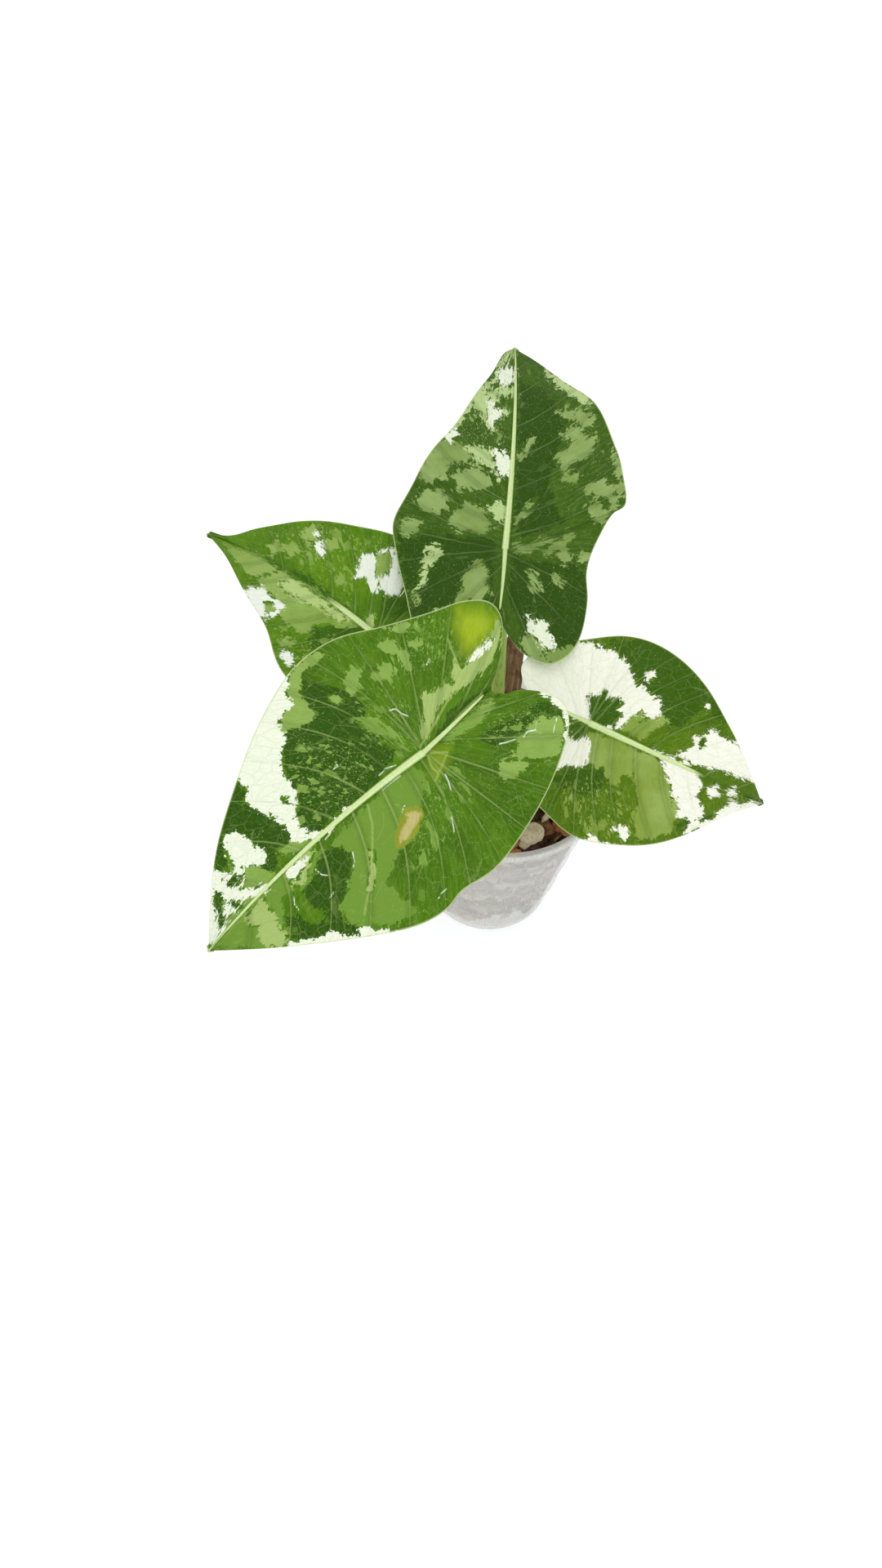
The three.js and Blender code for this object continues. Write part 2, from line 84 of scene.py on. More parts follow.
camera_data = bpy.data.cameras.new("camera")
camera_data.sensor_fit = "VERTICAL"
camera_data.sensor_height = frame_height_mm
camera_data.lens = lens_mm
camera_data.clip_start = nearest_seen
camera = bpy.data.objects.new("camera", camera_data)
bpy.context.scene.collection.objects.link(camera)
camera_tilt = Matrix.Rotation(math.pi / 2 - looking_down, 4, "X")
camera.matrix_world = Matrix.Translation(camera_place) @ camera_tilt @ Matrix.Rotation(camera_roll, 4, "Z")
bpy.context.scene.camera = camera
focal_pixels = lens_mm / frame_height_mm * photo_size[1]


def photo_pixels(points):
    """Where points in the row frame, in metres, lie in the photograph."""
    axes = np.array(camera.matrix_world.to_3x3())
    seen = (points - np.array(camera_place)) @ axes
    across = photo_size[0] / 2 + focal_pixels * seen[:, 0] / -seen[:, 2]
    down = photo_size[1] / 2 - focal_pixels * seen[:, 1] / -seen[:, 2]
    return np.column_stack([across, down])


print("focal length in pixels:", round(focal_pixels))
print("the cup's foot lies at pixel", photo_pixels(np.zeros((1, 3))).round())

# %% [markdown]
# The setting is a plain white sheet in even light from all round. A white world fills every shadow, one
# large lamp above and in front gives the leaves their soft sheen, and the floor glows a little, so that no
# shadow greys it. Several lamps could do this too, but each would add highlights of its own.

# %% Floor and light
sky_colour = (0.97, 0.985, 1.0, 1)
sky_strength = 0.76
floor_width = 8
floor_colour = (0.86, 0.87, 0.88, 1)
floor_roughness = 0.9
floor_glow = 0.42
lamp_width = 0.9
lamp_watts = 3.8
lamp_place = (0.1, -0.4, 1.25)
lamp_aim = Vector((0, 0, 0.15))

world = bpy.data.worlds.new("white room")
world.use_nodes = True
background = world.node_tree.nodes["Background"]
background.inputs["Color"].default_value = sky_colour
background.inputs["Strength"].default_value = sky_strength
bpy.context.scene.world = world
bpy.context.scene.view_settings.view_transform = "Standard"

bpy.ops.object.select_all(action="DESELECT")
bpy.ops.mesh.primitive_plane_add(size=floor_width)
floor = bpy.context.object
floor.name = "floor"
floor_paint = bpy.data.materials.new("white floor")
floor_paint.use_nodes = True
floor_shader = floor_paint.node_tree.nodes["Principled BSDF"]
floor_shader.inputs["Base Color"].default_value = floor_colour
floor_shader.inputs["Roughness"].default_value = floor_roughness
floor_shader.inputs["Emission Color"].default_value = sky_colour
floor_shader.inputs["Emission Strength"].default_value = floor_glow
floor.data.materials.append(floor_paint)

lamp_data = bpy.data.lights.new("soft lamp", "AREA")
lamp_data.shape = "DISK"
lamp_data.size = lamp_width
lamp_data.energy = lamp_watts
lamp = bpy.data.objects.new("soft lamp", lamp_data)
bpy.context.scene.collection.objects.link(lamp)
lamp.location = lamp_place
lamp.rotation_euler = (lamp_aim - lamp.location).to_track_quat("-Z", "Y").to_euler()
print("lamp", lamp_watts, "W at", lamp_place)

# %% [markdown]
# Finishes are built from nodes. Written out one by one, nodes hide the idea, so a small class wraps a
# socket: adding or multiplying two wrapped sockets adds the Math node that does it. A second class holds a
# material, adds any other node and lays one coat of colour over another.

# %% Shader maths
class Shade:
    """A socket in a material. Sums on Shades add Math nodes."""

    def __init__(self, paint, socket):
        self.paint = paint
        self.socket = socket

    def sum(self, operation, *values, clamp=False):
        settings = {"operation": operation, "use_clamp": clamp}
        return self.paint.node("ShaderNodeMath", settings, dict(enumerate(values)))

    def __add__(self, other):
        return self.sum("ADD", self, other)

    def __radd__(self, other):
        return self.sum("ADD", other, self)

    def __sub__(self, other):
        return self.sum("SUBTRACT", self, other)

    def __rsub__(self, other):
        return self.sum("SUBTRACT", other, self)

    def __mul__(self, other):
        return self.sum("MULTIPLY", self, other)

    def above(self, level, softness):
        """1 where this is over the level and 0 under it, with a soft edge."""
        return self.sum("MULTIPLY_ADD", self, 1 / softness, 0.5 - level / softness, clamp=True)

    def least(self, other):
        return self.sum("MINIMUM", self, other)

    def most(self, other):
        return self.sum("MAXIMUM", self, other)


class Paint:
    """A material, its Principled shader and the nodes that feed it."""

    def __init__(self, name, **constants):
        self.material = bpy.data.materials.new(name)
        self.material.use_nodes = True
        self.tree = self.material.node_tree
        self.shader = self.tree.nodes["Principled BSDF"]
        self.tone = None
        self.finish(**constants)

    def feed(self, socket, value):
        if isinstance(value, Shade):
            self.tree.links.new(value.socket, socket)
        else:
            socket.default_value = value

    def node(self, kind, settings=None, values=None, output=0):
        added = self.tree.nodes.new(kind)
        for name, value in (settings or {}).items():
            setattr(added, name, value)
        for name, value in (values or {}).items():
            self.feed(added.inputs[name], value)
        return Shade(self, added.outputs[output])

    def attribute(self, name):
        return self.node("ShaderNodeAttribute", {"attribute_name": name}, output="Fac")

    def scaled(self, vector, factors):
        return self.node("ShaderNodeVectorMath", {"operation": "MULTIPLY"}, {0: vector, 1: factors})

    def place(self, stretch=(1, 1, 1)):
        """The piece's own coordinates in millimetres, stretched."""
        place = self.node("ShaderNodeTexCoord", output="Object")
        return self.scaled(place, [value / MM for value in stretch])

    def map(self, name, stretch=(1, 1, 1)):
        """The piece's own UV map, which is in millimetres too, stretched."""
        return self.scaled(self.node("ShaderNodeUVMap", {"uv_map": name}), stretch)

    def noise(self, vector, size, detail=2, roughness=0.5):
        values = {"Vector": vector, "Scale": 1 / size, "Detail": detail, "Roughness": roughness}
        return self.node("ShaderNodeTexNoise", None, values)

    def cells(self, vector, size, feature="F1"):
        return self.node("ShaderNodeTexVoronoi", {"feature": feature}, {"Vector": vector, "Scale": 1 / size})

    def islets(self, vector, size):
        """A number from 0 to 1 that is the same all over each cell."""
        shades = self.node("ShaderNodeTexVoronoi", None, {"Vector": vector, "Scale": 1 / size}, "Color")
        return self.node("ShaderNodeSeparateColor", None, {"Color": shades}, "Red")

    def mix(self, share, first, second):
        """A colour that goes from the first to the second as share goes from 0 to 1."""
        share_socket, first_socket, second_socket, result_socket = 0, 6, 7, 2
        values = {share_socket: share, first_socket: first, second_socket: second}
        return self.node("ShaderNodeMix", {"data_type": "RGBA"}, values, result_socket)

    def coat(self, share, tone):
        """Lays a tone over the colour so far, as much of it as share says."""
        self.tone = self.mix(share, self.tone, tone)

    def bump(self, height, strength, distance_mm):
        values = {"Height": height, "Strength": strength, "Distance": distance_mm * MM}
        self.finish(Normal=self.node("ShaderNodeBump", None, values))

    def finish(self, **links):
        for socket, value in links.items():
            self.feed(self.shader.inputs[socket.replace("_", " ")], value)
        return self.material


def colour(red, green, blue):
    """A screen colour, 0 to 255 a channel, as the linear colour that a shader takes."""
    linear = [((value / 255 + 0.055) / 1.055) ** 2.4 for value in (red, green, blue)]
    return (*linear, 1)


print("mid green in linear light:", [round(value, 3) for value in colour(104, 146, 52)])

# %% [markdown]
# Most pieces here are thin curved sheets or tubes: blades, sheaths, stalks. Each starts as a grid primitive
# whose rows and columns are then laid on the real surface, worked out with numpy. Sculpting by hand would
# look as good, but a formula keeps the sheet on its CAD solid and gives every point its place on the leaf,
# which the veins and markings need.

# %% Laying a grid on a surface
def smooth_step(value, start, end):
    share = np.clip((value - start) / (end - start), 0, 1)
    return share * share * (3 - 2 * share)


def unit(vector):
    return vector / np.linalg.norm(vector, axis=-1, keepdims=True)


def select_only(*pieces):
    bpy.ops.object.select_all(action="DESELECT")
    for piece in pieces:
        piece.select_set(True)
    bpy.context.view_layer.objects.active = pieces[0]


def call(piece, name):
    piece.name = name
    piece.data.name = name


def add_grid(name, rows, columns):
    """A grid primitive with that many faces each way, and the row and column of each of its points."""
    bpy.ops.object.select_all(action="DESELECT")
    bpy.ops.mesh.primitive_grid_add(x_subdivisions=columns, y_subdivisions=rows, size=1)
    piece = bpy.context.object
    call(piece, name)
    flat = points_of(piece)
    column = np.rint((flat[:, 0] + 0.5) * columns).astype(int)
    row = np.rint((flat[:, 1] + 0.5) * rows).astype(int)
    return piece, row, column


def points_of(piece):
    points = np.empty(len(piece.data.vertices) * 3)
    piece.data.vertices.foreach_get("co", points)
    return points.reshape(-1, 3)


def put_points(piece, points):
    piece.data.vertices.foreach_set("co", np.ascontiguousarray(points, dtype=np.float32).ravel())
    piece.data.update()


def store(piece, name, values):
    """Keeps one number for each point of a piece, for its material to read."""
    kept = piece.data.attributes.new(name, "FLOAT", "POINT")
    kept.data.foreach_set("value", np.ascontiguousarray(values, dtype=np.float32))


def store_map(piece, name, across, along):
    """Keeps a UV map made from two numbers for each point."""
    corners = np.empty(len(piece.data.loops), dtype=np.int32)
    piece.data.loops.foreach_get("vertex_index", corners)
    uv = np.column_stack([across, along])[corners]
    piece.data.uv_layers[0].name = name
    piece.data.uv_layers[0].data.foreach_set("uv", uv.astype(np.float32).ravel())


def apply_modifier(piece, kind, **settings):
    select_only(piece)
    modifier = piece.modifiers.new(kind.lower(), kind)
    for name, value in settings.items():
        setattr(modifier, name, value)
    bpy.ops.object.modifier_apply(modifier=modifier.name)


def edit(piece):
    select_only(piece)
    bpy.ops.object.mode_set(mode="EDIT")
    bpy.ops.mesh.select_all(action="SELECT")


def merge_doubles(piece, within_mm=0.002):
    edit(piece)
    bpy.ops.mesh.remove_doubles(threshold=within_mm * MM)
    bpy.ops.object.mode_set(mode="OBJECT")


def smooth(piece, angle):
    select_only(piece)
    bpy.ops.object.shade_smooth_by_angle(angle=math.radians(angle))


def dress(piece, slot, materials, *nodes):
    """Gives a finished piece its materials and its body, and hides the CAD nodes that it stands for."""
    piece.data.materials.clear()
    for material in materials:
        piece.data.materials.append(material)
    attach(piece, "root")
    if nodes:
        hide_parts(*nodes)
    piece.data.calc_loop_triangles()
    print(piece.name, "has", len(piece.data.loop_triangles), "triangles")


print("a smooth step from 0 to 1 is at", smooth_step(0.25, 0, 1), "a quarter of the way")

# %% [markdown]
# Each leaf has a frame of its own, as in the CAD part: x runs from the joint with the stalk to the tip and
# z is the upper normal. The outline of each half runs from the apex of the sinus, the notch at the back,
# round the lobe and along the side to the tip. These are the part's own numbers, in millimetres and degrees.

# %% Leaf shapes
leaf_shapes = {
    "front": {
        "joint": (-31, -81, 230), "azimuth": -137.3, "elevation": -21.2, "roll": -24,
        "length": 90, "sinus": 28.6, "drift": -0.6, "bow": -2.7, "arch": 5, "lobe_lift": 5,
        "fold": 0.1, "curl": 4, "wave": 1.1, "waves": 4.5, "socket": -110,
        "left": [(-29.3, 2.8), (-35, 5.8), (-41, 12.6), (-42.6, 18), (-40.2, 23.5), (-27, 32),
                 (-10, 38.4), (8, 41.2), (20.5, 39.3), (27.5, 40.2), (36, 38.3), (53, 28.2),
                 (71.5, 15), (84, 5)],
        "right": [(-31.5, -1.8), (-39.5, -7), (-46.6, -15), (-46.8, -20.5), (-41.5, -25.9),
                  (-32, -30.3), (-17.6, -37.3), (-2.4, -44.7), (12, -46.2), (27, -42), (46, -33.2),
                  (66, -21.4), (82, -8)],
    },
    "back": {
        "joint": (-8, 19, 212), "azimuth": 89.8, "elevation": -1.2, "roll": -2.5,
        "length": 107, "sinus": 28, "drift": 1, "bow": -1.2, "arch": 5, "lobe_lift": 3,
        "fold": 0.16, "curl": 5, "wave": 1.3, "waves": 5, "socket": 80,
        "left": [(-37, 4.5), (-46, 12), (-48, 20), (-40, 28.5), (-19, 34.6), (-5, 38.6),
                 (8.3, 40.7), (30, 33.6), (57.6, 20.8), (85, 9.6), (104.5, 3.4)],
        "right": [(-35, -2), (-44, -8.5), (-48.3, -17), (-45.5, -22.5), (-38, -26.8),
                  (-20.8, -29.7), (-9, -29.2), (5, -33), (17, -38.3), (20.6, -42.6), (33, -41.7),
                  (48, -39.3), (68.5, -32), (84, -19.5), (103.5, -2.9)],
    },
    "left": {
        "joint": (-52, -6, 189), "azimuth": 140.7, "elevation": -11.6, "roll": -24.2,
        "length": 95, "sinus": 22, "drift": 0, "bow": -2.7, "arch": 4, "lobe_lift": 3,
        "fold": 0.16, "curl": 4, "wave": 1.2, "waves": 4, "socket": 178,
        "left": [(-29, 4), (-34, 12), (-32, 21), (-20, 29), (0, 33.5), (20, 30.5), (40, 19.5),
                 (55, 13.5), (79, 4)],
        "right": [(-29, -4), (-34, -12), (-31, -22), (-17, -31), (0, -35), (15, -34.5), (39, -29),
                  (54, -22), (73, -11.5), (82, -4.5)],
    },
    "right": {
        "joint": (25, -39, 191), "azimuth": -6.9, "elevation": -25.3, "roll": 38.1,
        "length": 75, "sinus": 18, "drift": 0, "bow": 0, "arch": 5, "lobe_lift": 4,
        "fold": 0.12, "curl": 5, "wave": 1.0, "waves": 4, "socket": -43,
        "left": [(-25, 2), (-29.5, 8), (-27, 15), (-13, 26), (0, 33), (12, 34.5), (32, 29),
                 (47, 19.5), (62, 9.5)],
        "right": [(-25, -5), (-30, -13), (-27, -22), (-15, -29.5), (-3, -34), (12, -38.3),
                  (33, -33), (50, -21.5), (63, -9)],
    },
}


def leaf_matrix(leaf):
    turn = Matrix.Rotation(math.radians(leaf["azimuth"]), 4, "Z")
    turn @= Matrix.Rotation(math.radians(-leaf["elevation"]), 4, "Y")
    turn @= Matrix.Rotation(math.radians(leaf["roll"]), 4, "X")
    return Matrix.Translation(Vector(leaf["joint"])) @ turn


def carried(points, matrix):
    """Points in millimetres moved by a matrix and given in metres."""
    turn = np.array(matrix.to_3x3())
    return (points @ turn.T + np.array(matrix.translation)) * MM


def midrib_offset(leaf, u):
    along = u / leaf["length"]
    ahead = 4 * leaf["bow"] * along * (1 - along)
    behind = leaf["drift"] * (u / leaf["sinus"]) ** 2
    return np.where(u < 0, behind, ahead)


fold_width = 4
lobe_reach = 40
steps_between = 24


def surface_height(leaf, u, v):
    along = u / leaf["length"]
    side = v - midrib_offset(leaf, u)
    arch = 4 * leaf["arch"] * along * (1 - along)
    lobe = np.where(u < 0, leaf["lobe_lift"] * (u / lobe_reach) ** 2 + 4 * leaf["arch"] * along**2, 0)
    fold = leaf["fold"] * (np.hypot(side, fold_width) - fold_width)
    return arch + lobe + fold - leaf["curl"] * (side / lobe_reach) ** 2


def along_curve(controls, shares):
    """Points at shares of the length of a smooth curve through the controls, and that length."""
    steps = np.linspace(0, 1, steps_between, endpoint=False)[:, None]
    knots = np.vstack([2 * controls[0] - controls[1], controls, 2 * controls[-1] - controls[-2]])
    path = []
    for a, b, c, d in zip(knots, knots[1:], knots[2:], knots[3:]):
        ab, bc, cd = (np.sqrt(np.linalg.norm(gap)) for gap in (b - a, c - b, d - c))
        leave = ((b - a) / ab - (c - a) / (ab + bc) + (c - b) / bc) * bc
        arrive = ((c - b) / bc - (d - b) / (bc + cd) + (d - c) / cd) * bc
        square = -3 * b + 3 * c - 2 * leave - arrive
        cube = 2 * b - 2 * c + leave + arrive
        path.append(b + leave * steps + square * steps**2 + cube * steps**3)
    path = np.vstack([*path, controls[-1:]])
    lengths = np.concatenate([[0], np.cumsum(np.linalg.norm(np.diff(path, axis=0), axis=1))])
    at = shares * lengths[-1]
    return np.column_stack([np.interp(at, lengths, path[:, k]) for k in (0, 1)]), lengths[-1]


def half_outline(leaf, half, shares):
    """Points along the outline of one half, from the sinus to the tip, and its length."""
    controls = [(-leaf["sinus"], leaf["drift"]), *leaf[half], (leaf["length"], 0)]
    return along_curve(np.array(controls, float), shares)


for name, leaf in leaf_shapes.items():
    lengths = [half_outline(leaf, half, np.array([1.0]))[1] for half in ("left", "right")]
    print(name, "outline halves in mm:", [round(length) for length in lengths])

# %% [markdown]
# Variegation is a patchwork: whole sectors of the leaf lack green pigment, and their edges jump from one
# small vein to the next. An image could carry it, but here each patch is an outline read off the
# photograph, in its pixels, with a tone. Every point of a blade learns how far inside each tone it lies, and
# the material later makes the edges ragged. A later patch covers the earlier ones.

# %% Markings of the front leaf
front_patches = [
    ("deep", "dark half", [
        (368, 830), (400, 838), (432, 850), (452, 868), (440, 885), (462, 902), (488, 922), (468, 948),
        (446, 974), (425, 988), (405, 1002), (398, 1017), (375, 1018), (362, 1004), (366, 985), (357, 968),
        (349, 948), (346, 925), (353, 905), (346, 895), (375, 885), (381, 872), (370, 850)]),
    # painted shadow under the folded lobe, laid in the deep green tone
    ("deep", "lobe shadow", [
        (532, 900), (552, 872), (570, 858), (590, 846), (600, 846), (580, 866), (556, 890), (538, 908)]),
    ("deep", "right lobe", [
        (590, 905), (610, 885), (640, 872), (655, 880), (640, 895), (615, 908), (600, 912)]),
    ("deep", "outer jagged", [
        (288, 955), (303, 963), (305, 975), (297, 983), (318, 991), (332, 1001), (350, 1012), (358, 1026),
        (352, 1040), (336, 1048), (342, 1060), (330, 1068), (306, 1062), (282, 1062), (266, 1069),
        (262, 1056), (262, 1035), (268, 1010), (275, 985)]),
    ("deep", "below midrib", [
        (392, 1044), (410, 1036), (431, 1043), (432, 1062), (427, 1082), (422, 1098), (417, 1112),
        (424, 1126), (441, 1133), (442, 1146), (424, 1152), (360, 1152), (352, 1136), (347, 1121),
        (362, 1121), (378, 1128), (388, 1132), (400, 1128), (398, 1116), (385, 1112), (374, 1102),
        (372, 1088), (382, 1076), (390, 1062), (386, 1052)]),
    ("sage", "left margin", [
        (350, 842), (360, 818), (374, 803), (392, 797), (394, 803), (382, 812), (370, 824), (368, 840),
        (366, 848), (373, 862), (381, 874), (378, 881), (366, 888), (356, 893), (342, 895), (343, 884),
        (352, 868), (352, 852)]),
    ("sage", "upper a", [(465, 790), (470, 786), (483, 782), (491, 794), (487, 800), (468, 797)]),
    ("sage", "upper b", [(486, 800), (497, 798), (502, 809), (506, 815), (503, 821), (495, 817)]),
    ("sage", "upper c", [(470, 812), (480, 810), (484, 821), (477, 834), (464, 833), (458, 828)]),
    ("sage", "upper d", [
        (429, 815), (437, 819), (442, 819), (438, 832), (441, 843), (430, 850), (424, 843), (423, 826)]),
    ("sage", "upper e", [(498, 788), (510, 782), (516, 788), (509, 795), (501, 794)]),
    ("sage", "upper f", [(472, 768), (485, 768), (492, 763), (499, 764), (494, 772), (484, 774)]),
    ("sage", "upper g", [(402, 853), (412, 852), (420, 858), (414, 862), (405, 859)]),
    ("sage", "upper h", [
        (438, 880), (452, 880), (468, 888), (486, 900), (492, 911), (474, 904), (458, 897), (445, 890)]),
    ("pale", "lobe", [
        (556, 838), (552, 824), (556, 808), (566, 818), (582, 806), (598, 786), (610, 762), (616, 764),
        (612, 790), (600, 812), (586, 828), (568, 840), (552, 852), (540, 866), (530, 886), (524, 904),
        (515, 904), (516, 888), (519, 870), (514, 854), (522, 846), (533, 847), (545, 838)]),
    ("sage", "right lobe", [
        (650, 890), (664, 880), (684, 877), (691, 888), (691, 905), (684, 918), (668, 928), (654, 930),
        (640, 928), (630, 920), (634, 907), (645, 899)]),
    ("sage", "right lobe inner", [
        (612, 934), (628, 930), (646, 936), (640, 945), (628, 950), (618, 955), (613, 947)]),
    ("sage", "joint to lobe", [
        (545, 905), (560, 890), (580, 872), (600, 858), (606, 862), (590, 880), (570, 896), (552, 908)]),
    ("moss", "wedge", [
        (500, 936), (520, 950), (519, 975), (514, 992), (508, 1030), (492, 1040), (480, 1054), (482, 1066),
        (476, 1082), (486, 1096), (500, 1100), (505, 1109), (512, 1115), (505, 1122), (490, 1126),
        (486, 1134), (445, 1134), (424, 1127), (418, 1112), (425, 1098), (429, 1080), (432, 1058),
        (431, 1042), (408, 1034), (390, 1042), (372, 1046), (350, 1064), (330, 1080), (312, 1098),
        (296, 1118), (276, 1140), (262, 1160), (350, 1162), (354, 1140), (346, 1121), (345, 1104),
        (350, 1090), (372, 1088), (384, 1070), (388, 1052), (404, 1034), (420, 1018), (446, 990),
        (472, 962)]),
    ("sage", "above midrib", [
        (300, 1062), (314, 1062), (330, 1068), (338, 1074), (324, 1086), (312, 1100), (296, 1118),
        (274, 1142), (268, 1136), (280, 1122), (297, 1112), (300, 1101), (298, 1078)]),
    ("sage", "midrib strip", [(340, 1042), (360, 1030), (388, 1026), (376, 1038), (356, 1044)]),
    ("pale", "tip wedge", [
        (300, 1122), (322, 1100), (332, 1112), (340, 1130), (353, 1148), (345, 1158), (328, 1158),
        (318, 1147), (318, 1134), (306, 1132)]),
    ("pale", "midrib patch", [
        (350, 1064), (372, 1046), (386, 1041), (380, 1056), (376, 1070), (372, 1082), (360, 1086),
        (352, 1078)]),
    ("pale", "wedge streak", [
        (452, 1040), (458, 1042), (460, 1066), (458, 1086), (452, 1092), (450, 1076), (455, 1058)]),
    ("cream", "left sector", [
        (354, 822), (350, 845), (356, 862), (344, 880), (342, 896), (352, 904), (342, 916), (347, 927),
        (346, 942), (353, 958), (361, 972), (366, 985), (360, 1000), (366, 1014), (378, 1020), (402, 1017),
        (410, 1003), (420, 990), (430, 987), (416, 1002), (403, 1018), (388, 1028), (358, 1030),
        (356, 1018), (344, 1006), (325, 996), (308, 987), (298, 979), (304, 969), (296, 961), (289, 954),
        (276, 960), (284, 900), (318, 840), (340, 815)]),
    ("cream", "outer island", [
        (275, 1024), (290, 1020), (301, 1024), (309, 1032), (318, 1040), (326, 1045), (325, 1055),
        (311, 1058), (300, 1062), (285, 1059), (279, 1050), (277, 1038)]),
    ("cream", "toward tip", [
        (252, 1060), (264, 1068), (276, 1068), (284, 1062), (300, 1064), (300, 1078), (296, 1088),
        (312, 1088), (326, 1082), (328, 1088), (316, 1096), (300, 1100), (296, 1112), (281, 1120),
        (274, 1138), (262, 1154), (250, 1154)]),
    ("cream", "lower margin", [
        (346, 1166), (356, 1153), (385, 1151), (398, 1147), (403, 1141), (412, 1142), (419, 1148),
        (441, 1147), (442, 1137), (458, 1136), (470, 1137), (478, 1141), (488, 1142), (440, 1158)]),
    ("pale", "lobe streak", [
        (611, 762), (615, 772), (606, 784), (594, 797), (582, 808), (570, 819), (563, 823), (571, 808),
        (580, 799), (592, 787), (600, 775)]),
    ("cream", "right lobe edge", [
        (662, 843), (680, 847), (694, 858), (703, 876), (704, 898), (694, 909), (688, 903), (694, 890),
        (690, 876), (683, 866), (676, 857), (664, 852)]),
    ("cream", "lobe streak core", [(606, 782), (594, 795), (580, 808), (572, 814), (586, 798), (600, 782)]),
    ("cream", "midrib patch core", [
        (352, 1066), (364, 1056), (376, 1050), (372, 1062), (364, 1076), (355, 1076)]),
    ("deep", "tip island a", [
        (273, 1077), (284, 1071), (298, 1071), (296, 1081), (284, 1088), (275, 1084)]),
    ("deep", "tip strip", [(262, 1088), (274, 1094), (272, 1114), (278, 1130), (269, 1138), (262, 1112)]),
    ("deep", "tip island b", [(279, 1101), (288, 1102), (300, 1108), (296, 1115), (284, 1110)]),
    ("deep", "cream island", [(344, 977), (352, 978), (358, 983), (354, 987), (347, 983)]),
    ("scar", "old wound", [
        (494, 992), (506, 988), (518, 990), (521, 998), (515, 1010), (507, 1022), (500, 1036), (492, 1040),
        (485, 1034), (486, 1018), (490, 1004)]),
    ("yellow", "lobe", [
        (556, 742), (590, 742), (612, 756), (608, 775), (588, 796), (570, 806), (560, 790), (552, 765)]),
    ("yellow", "by the joint", [(524, 916), (552, 914), (550, 932), (536, 958), (526, 948)]),
    ("fleck", "toward the joint", [
        (430, 866), (470, 840), (500, 850), (514, 880), (520, 915), (488, 925), (460, 915), (436, 895)]),
    ("fleck", "dark half", [
        (372, 910), (420, 905), (470, 925), (450, 960), (425, 985), (398, 1008), (372, 1010), (358, 970),
        (352, 935)]),
    ("fleck", "right lobe", [(592, 880), (625, 868), (660, 872), (640, 900), (600, 912)]),
    ("fleck", "below the joint", [
        (500, 1000), (530, 945), (560, 935), (580, 960), (560, 1010), (530, 1060), (510, 1060)]),
    ("fleck", "upper lobe", [(500, 760), (520, 752), (560, 762), (550, 800), (530, 820), (505, 812)]),
    ("deep", "right lobe line", [
        (640, 868), (655, 862), (672, 862), (688, 870), (690, 877), (672, 876), (655, 874)]),
]
# thin white lines on the front leaf
front_white_lines = [
    [(654, 874), (656, 885), (655, 894), (662, 898)], [(654, 894), (646, 896), (641, 903)],
    [(682, 879), (679, 890), (678, 898)], [(632, 905), (620, 909), (611, 911)],
    [(485, 937), (472, 941), (464, 950)], [(545, 948), (549, 957), (552, 967)],
    [(408, 942), (414, 938), (411, 934)], [(536, 1102), (540, 1095), (547, 1088)],
    [(386, 1064), (394, 1071), (401, 1072)], [(432, 1043), (434, 1056), (432, 1064)],
    [(361, 1093), (360, 1106), (366, 1114)], [(398, 1028), (405, 1020)], [(468, 968), (490, 950)],
    [(496, 985), (492, 994)], [(553, 1000), (556, 1018)], [(409, 1092), (404, 1099)],
    [(476, 870), (484, 868), (492, 874), (500, 877)], [(522, 815), (526, 806)],
]
# pale lines along the folds: partly pale veins, partly painted highlight on the fold ridges
front_fold_lines = [
    [(514, 915), (530, 890), (548, 858), (563, 831)], [(527, 922), (548, 921), (541, 938), (533, 956)],
    [(524, 926), (529, 940), (537, 946)], [(540, 902), (564, 874), (590, 850)],
    [(548, 782), (555, 800), (563, 820)], [(450, 985), (456, 1010), (456, 1040), (455, 1072), (446, 1120)],
]
print("front leaf:", len(front_patches), "patches and", len(front_white_lines), "white_lines")

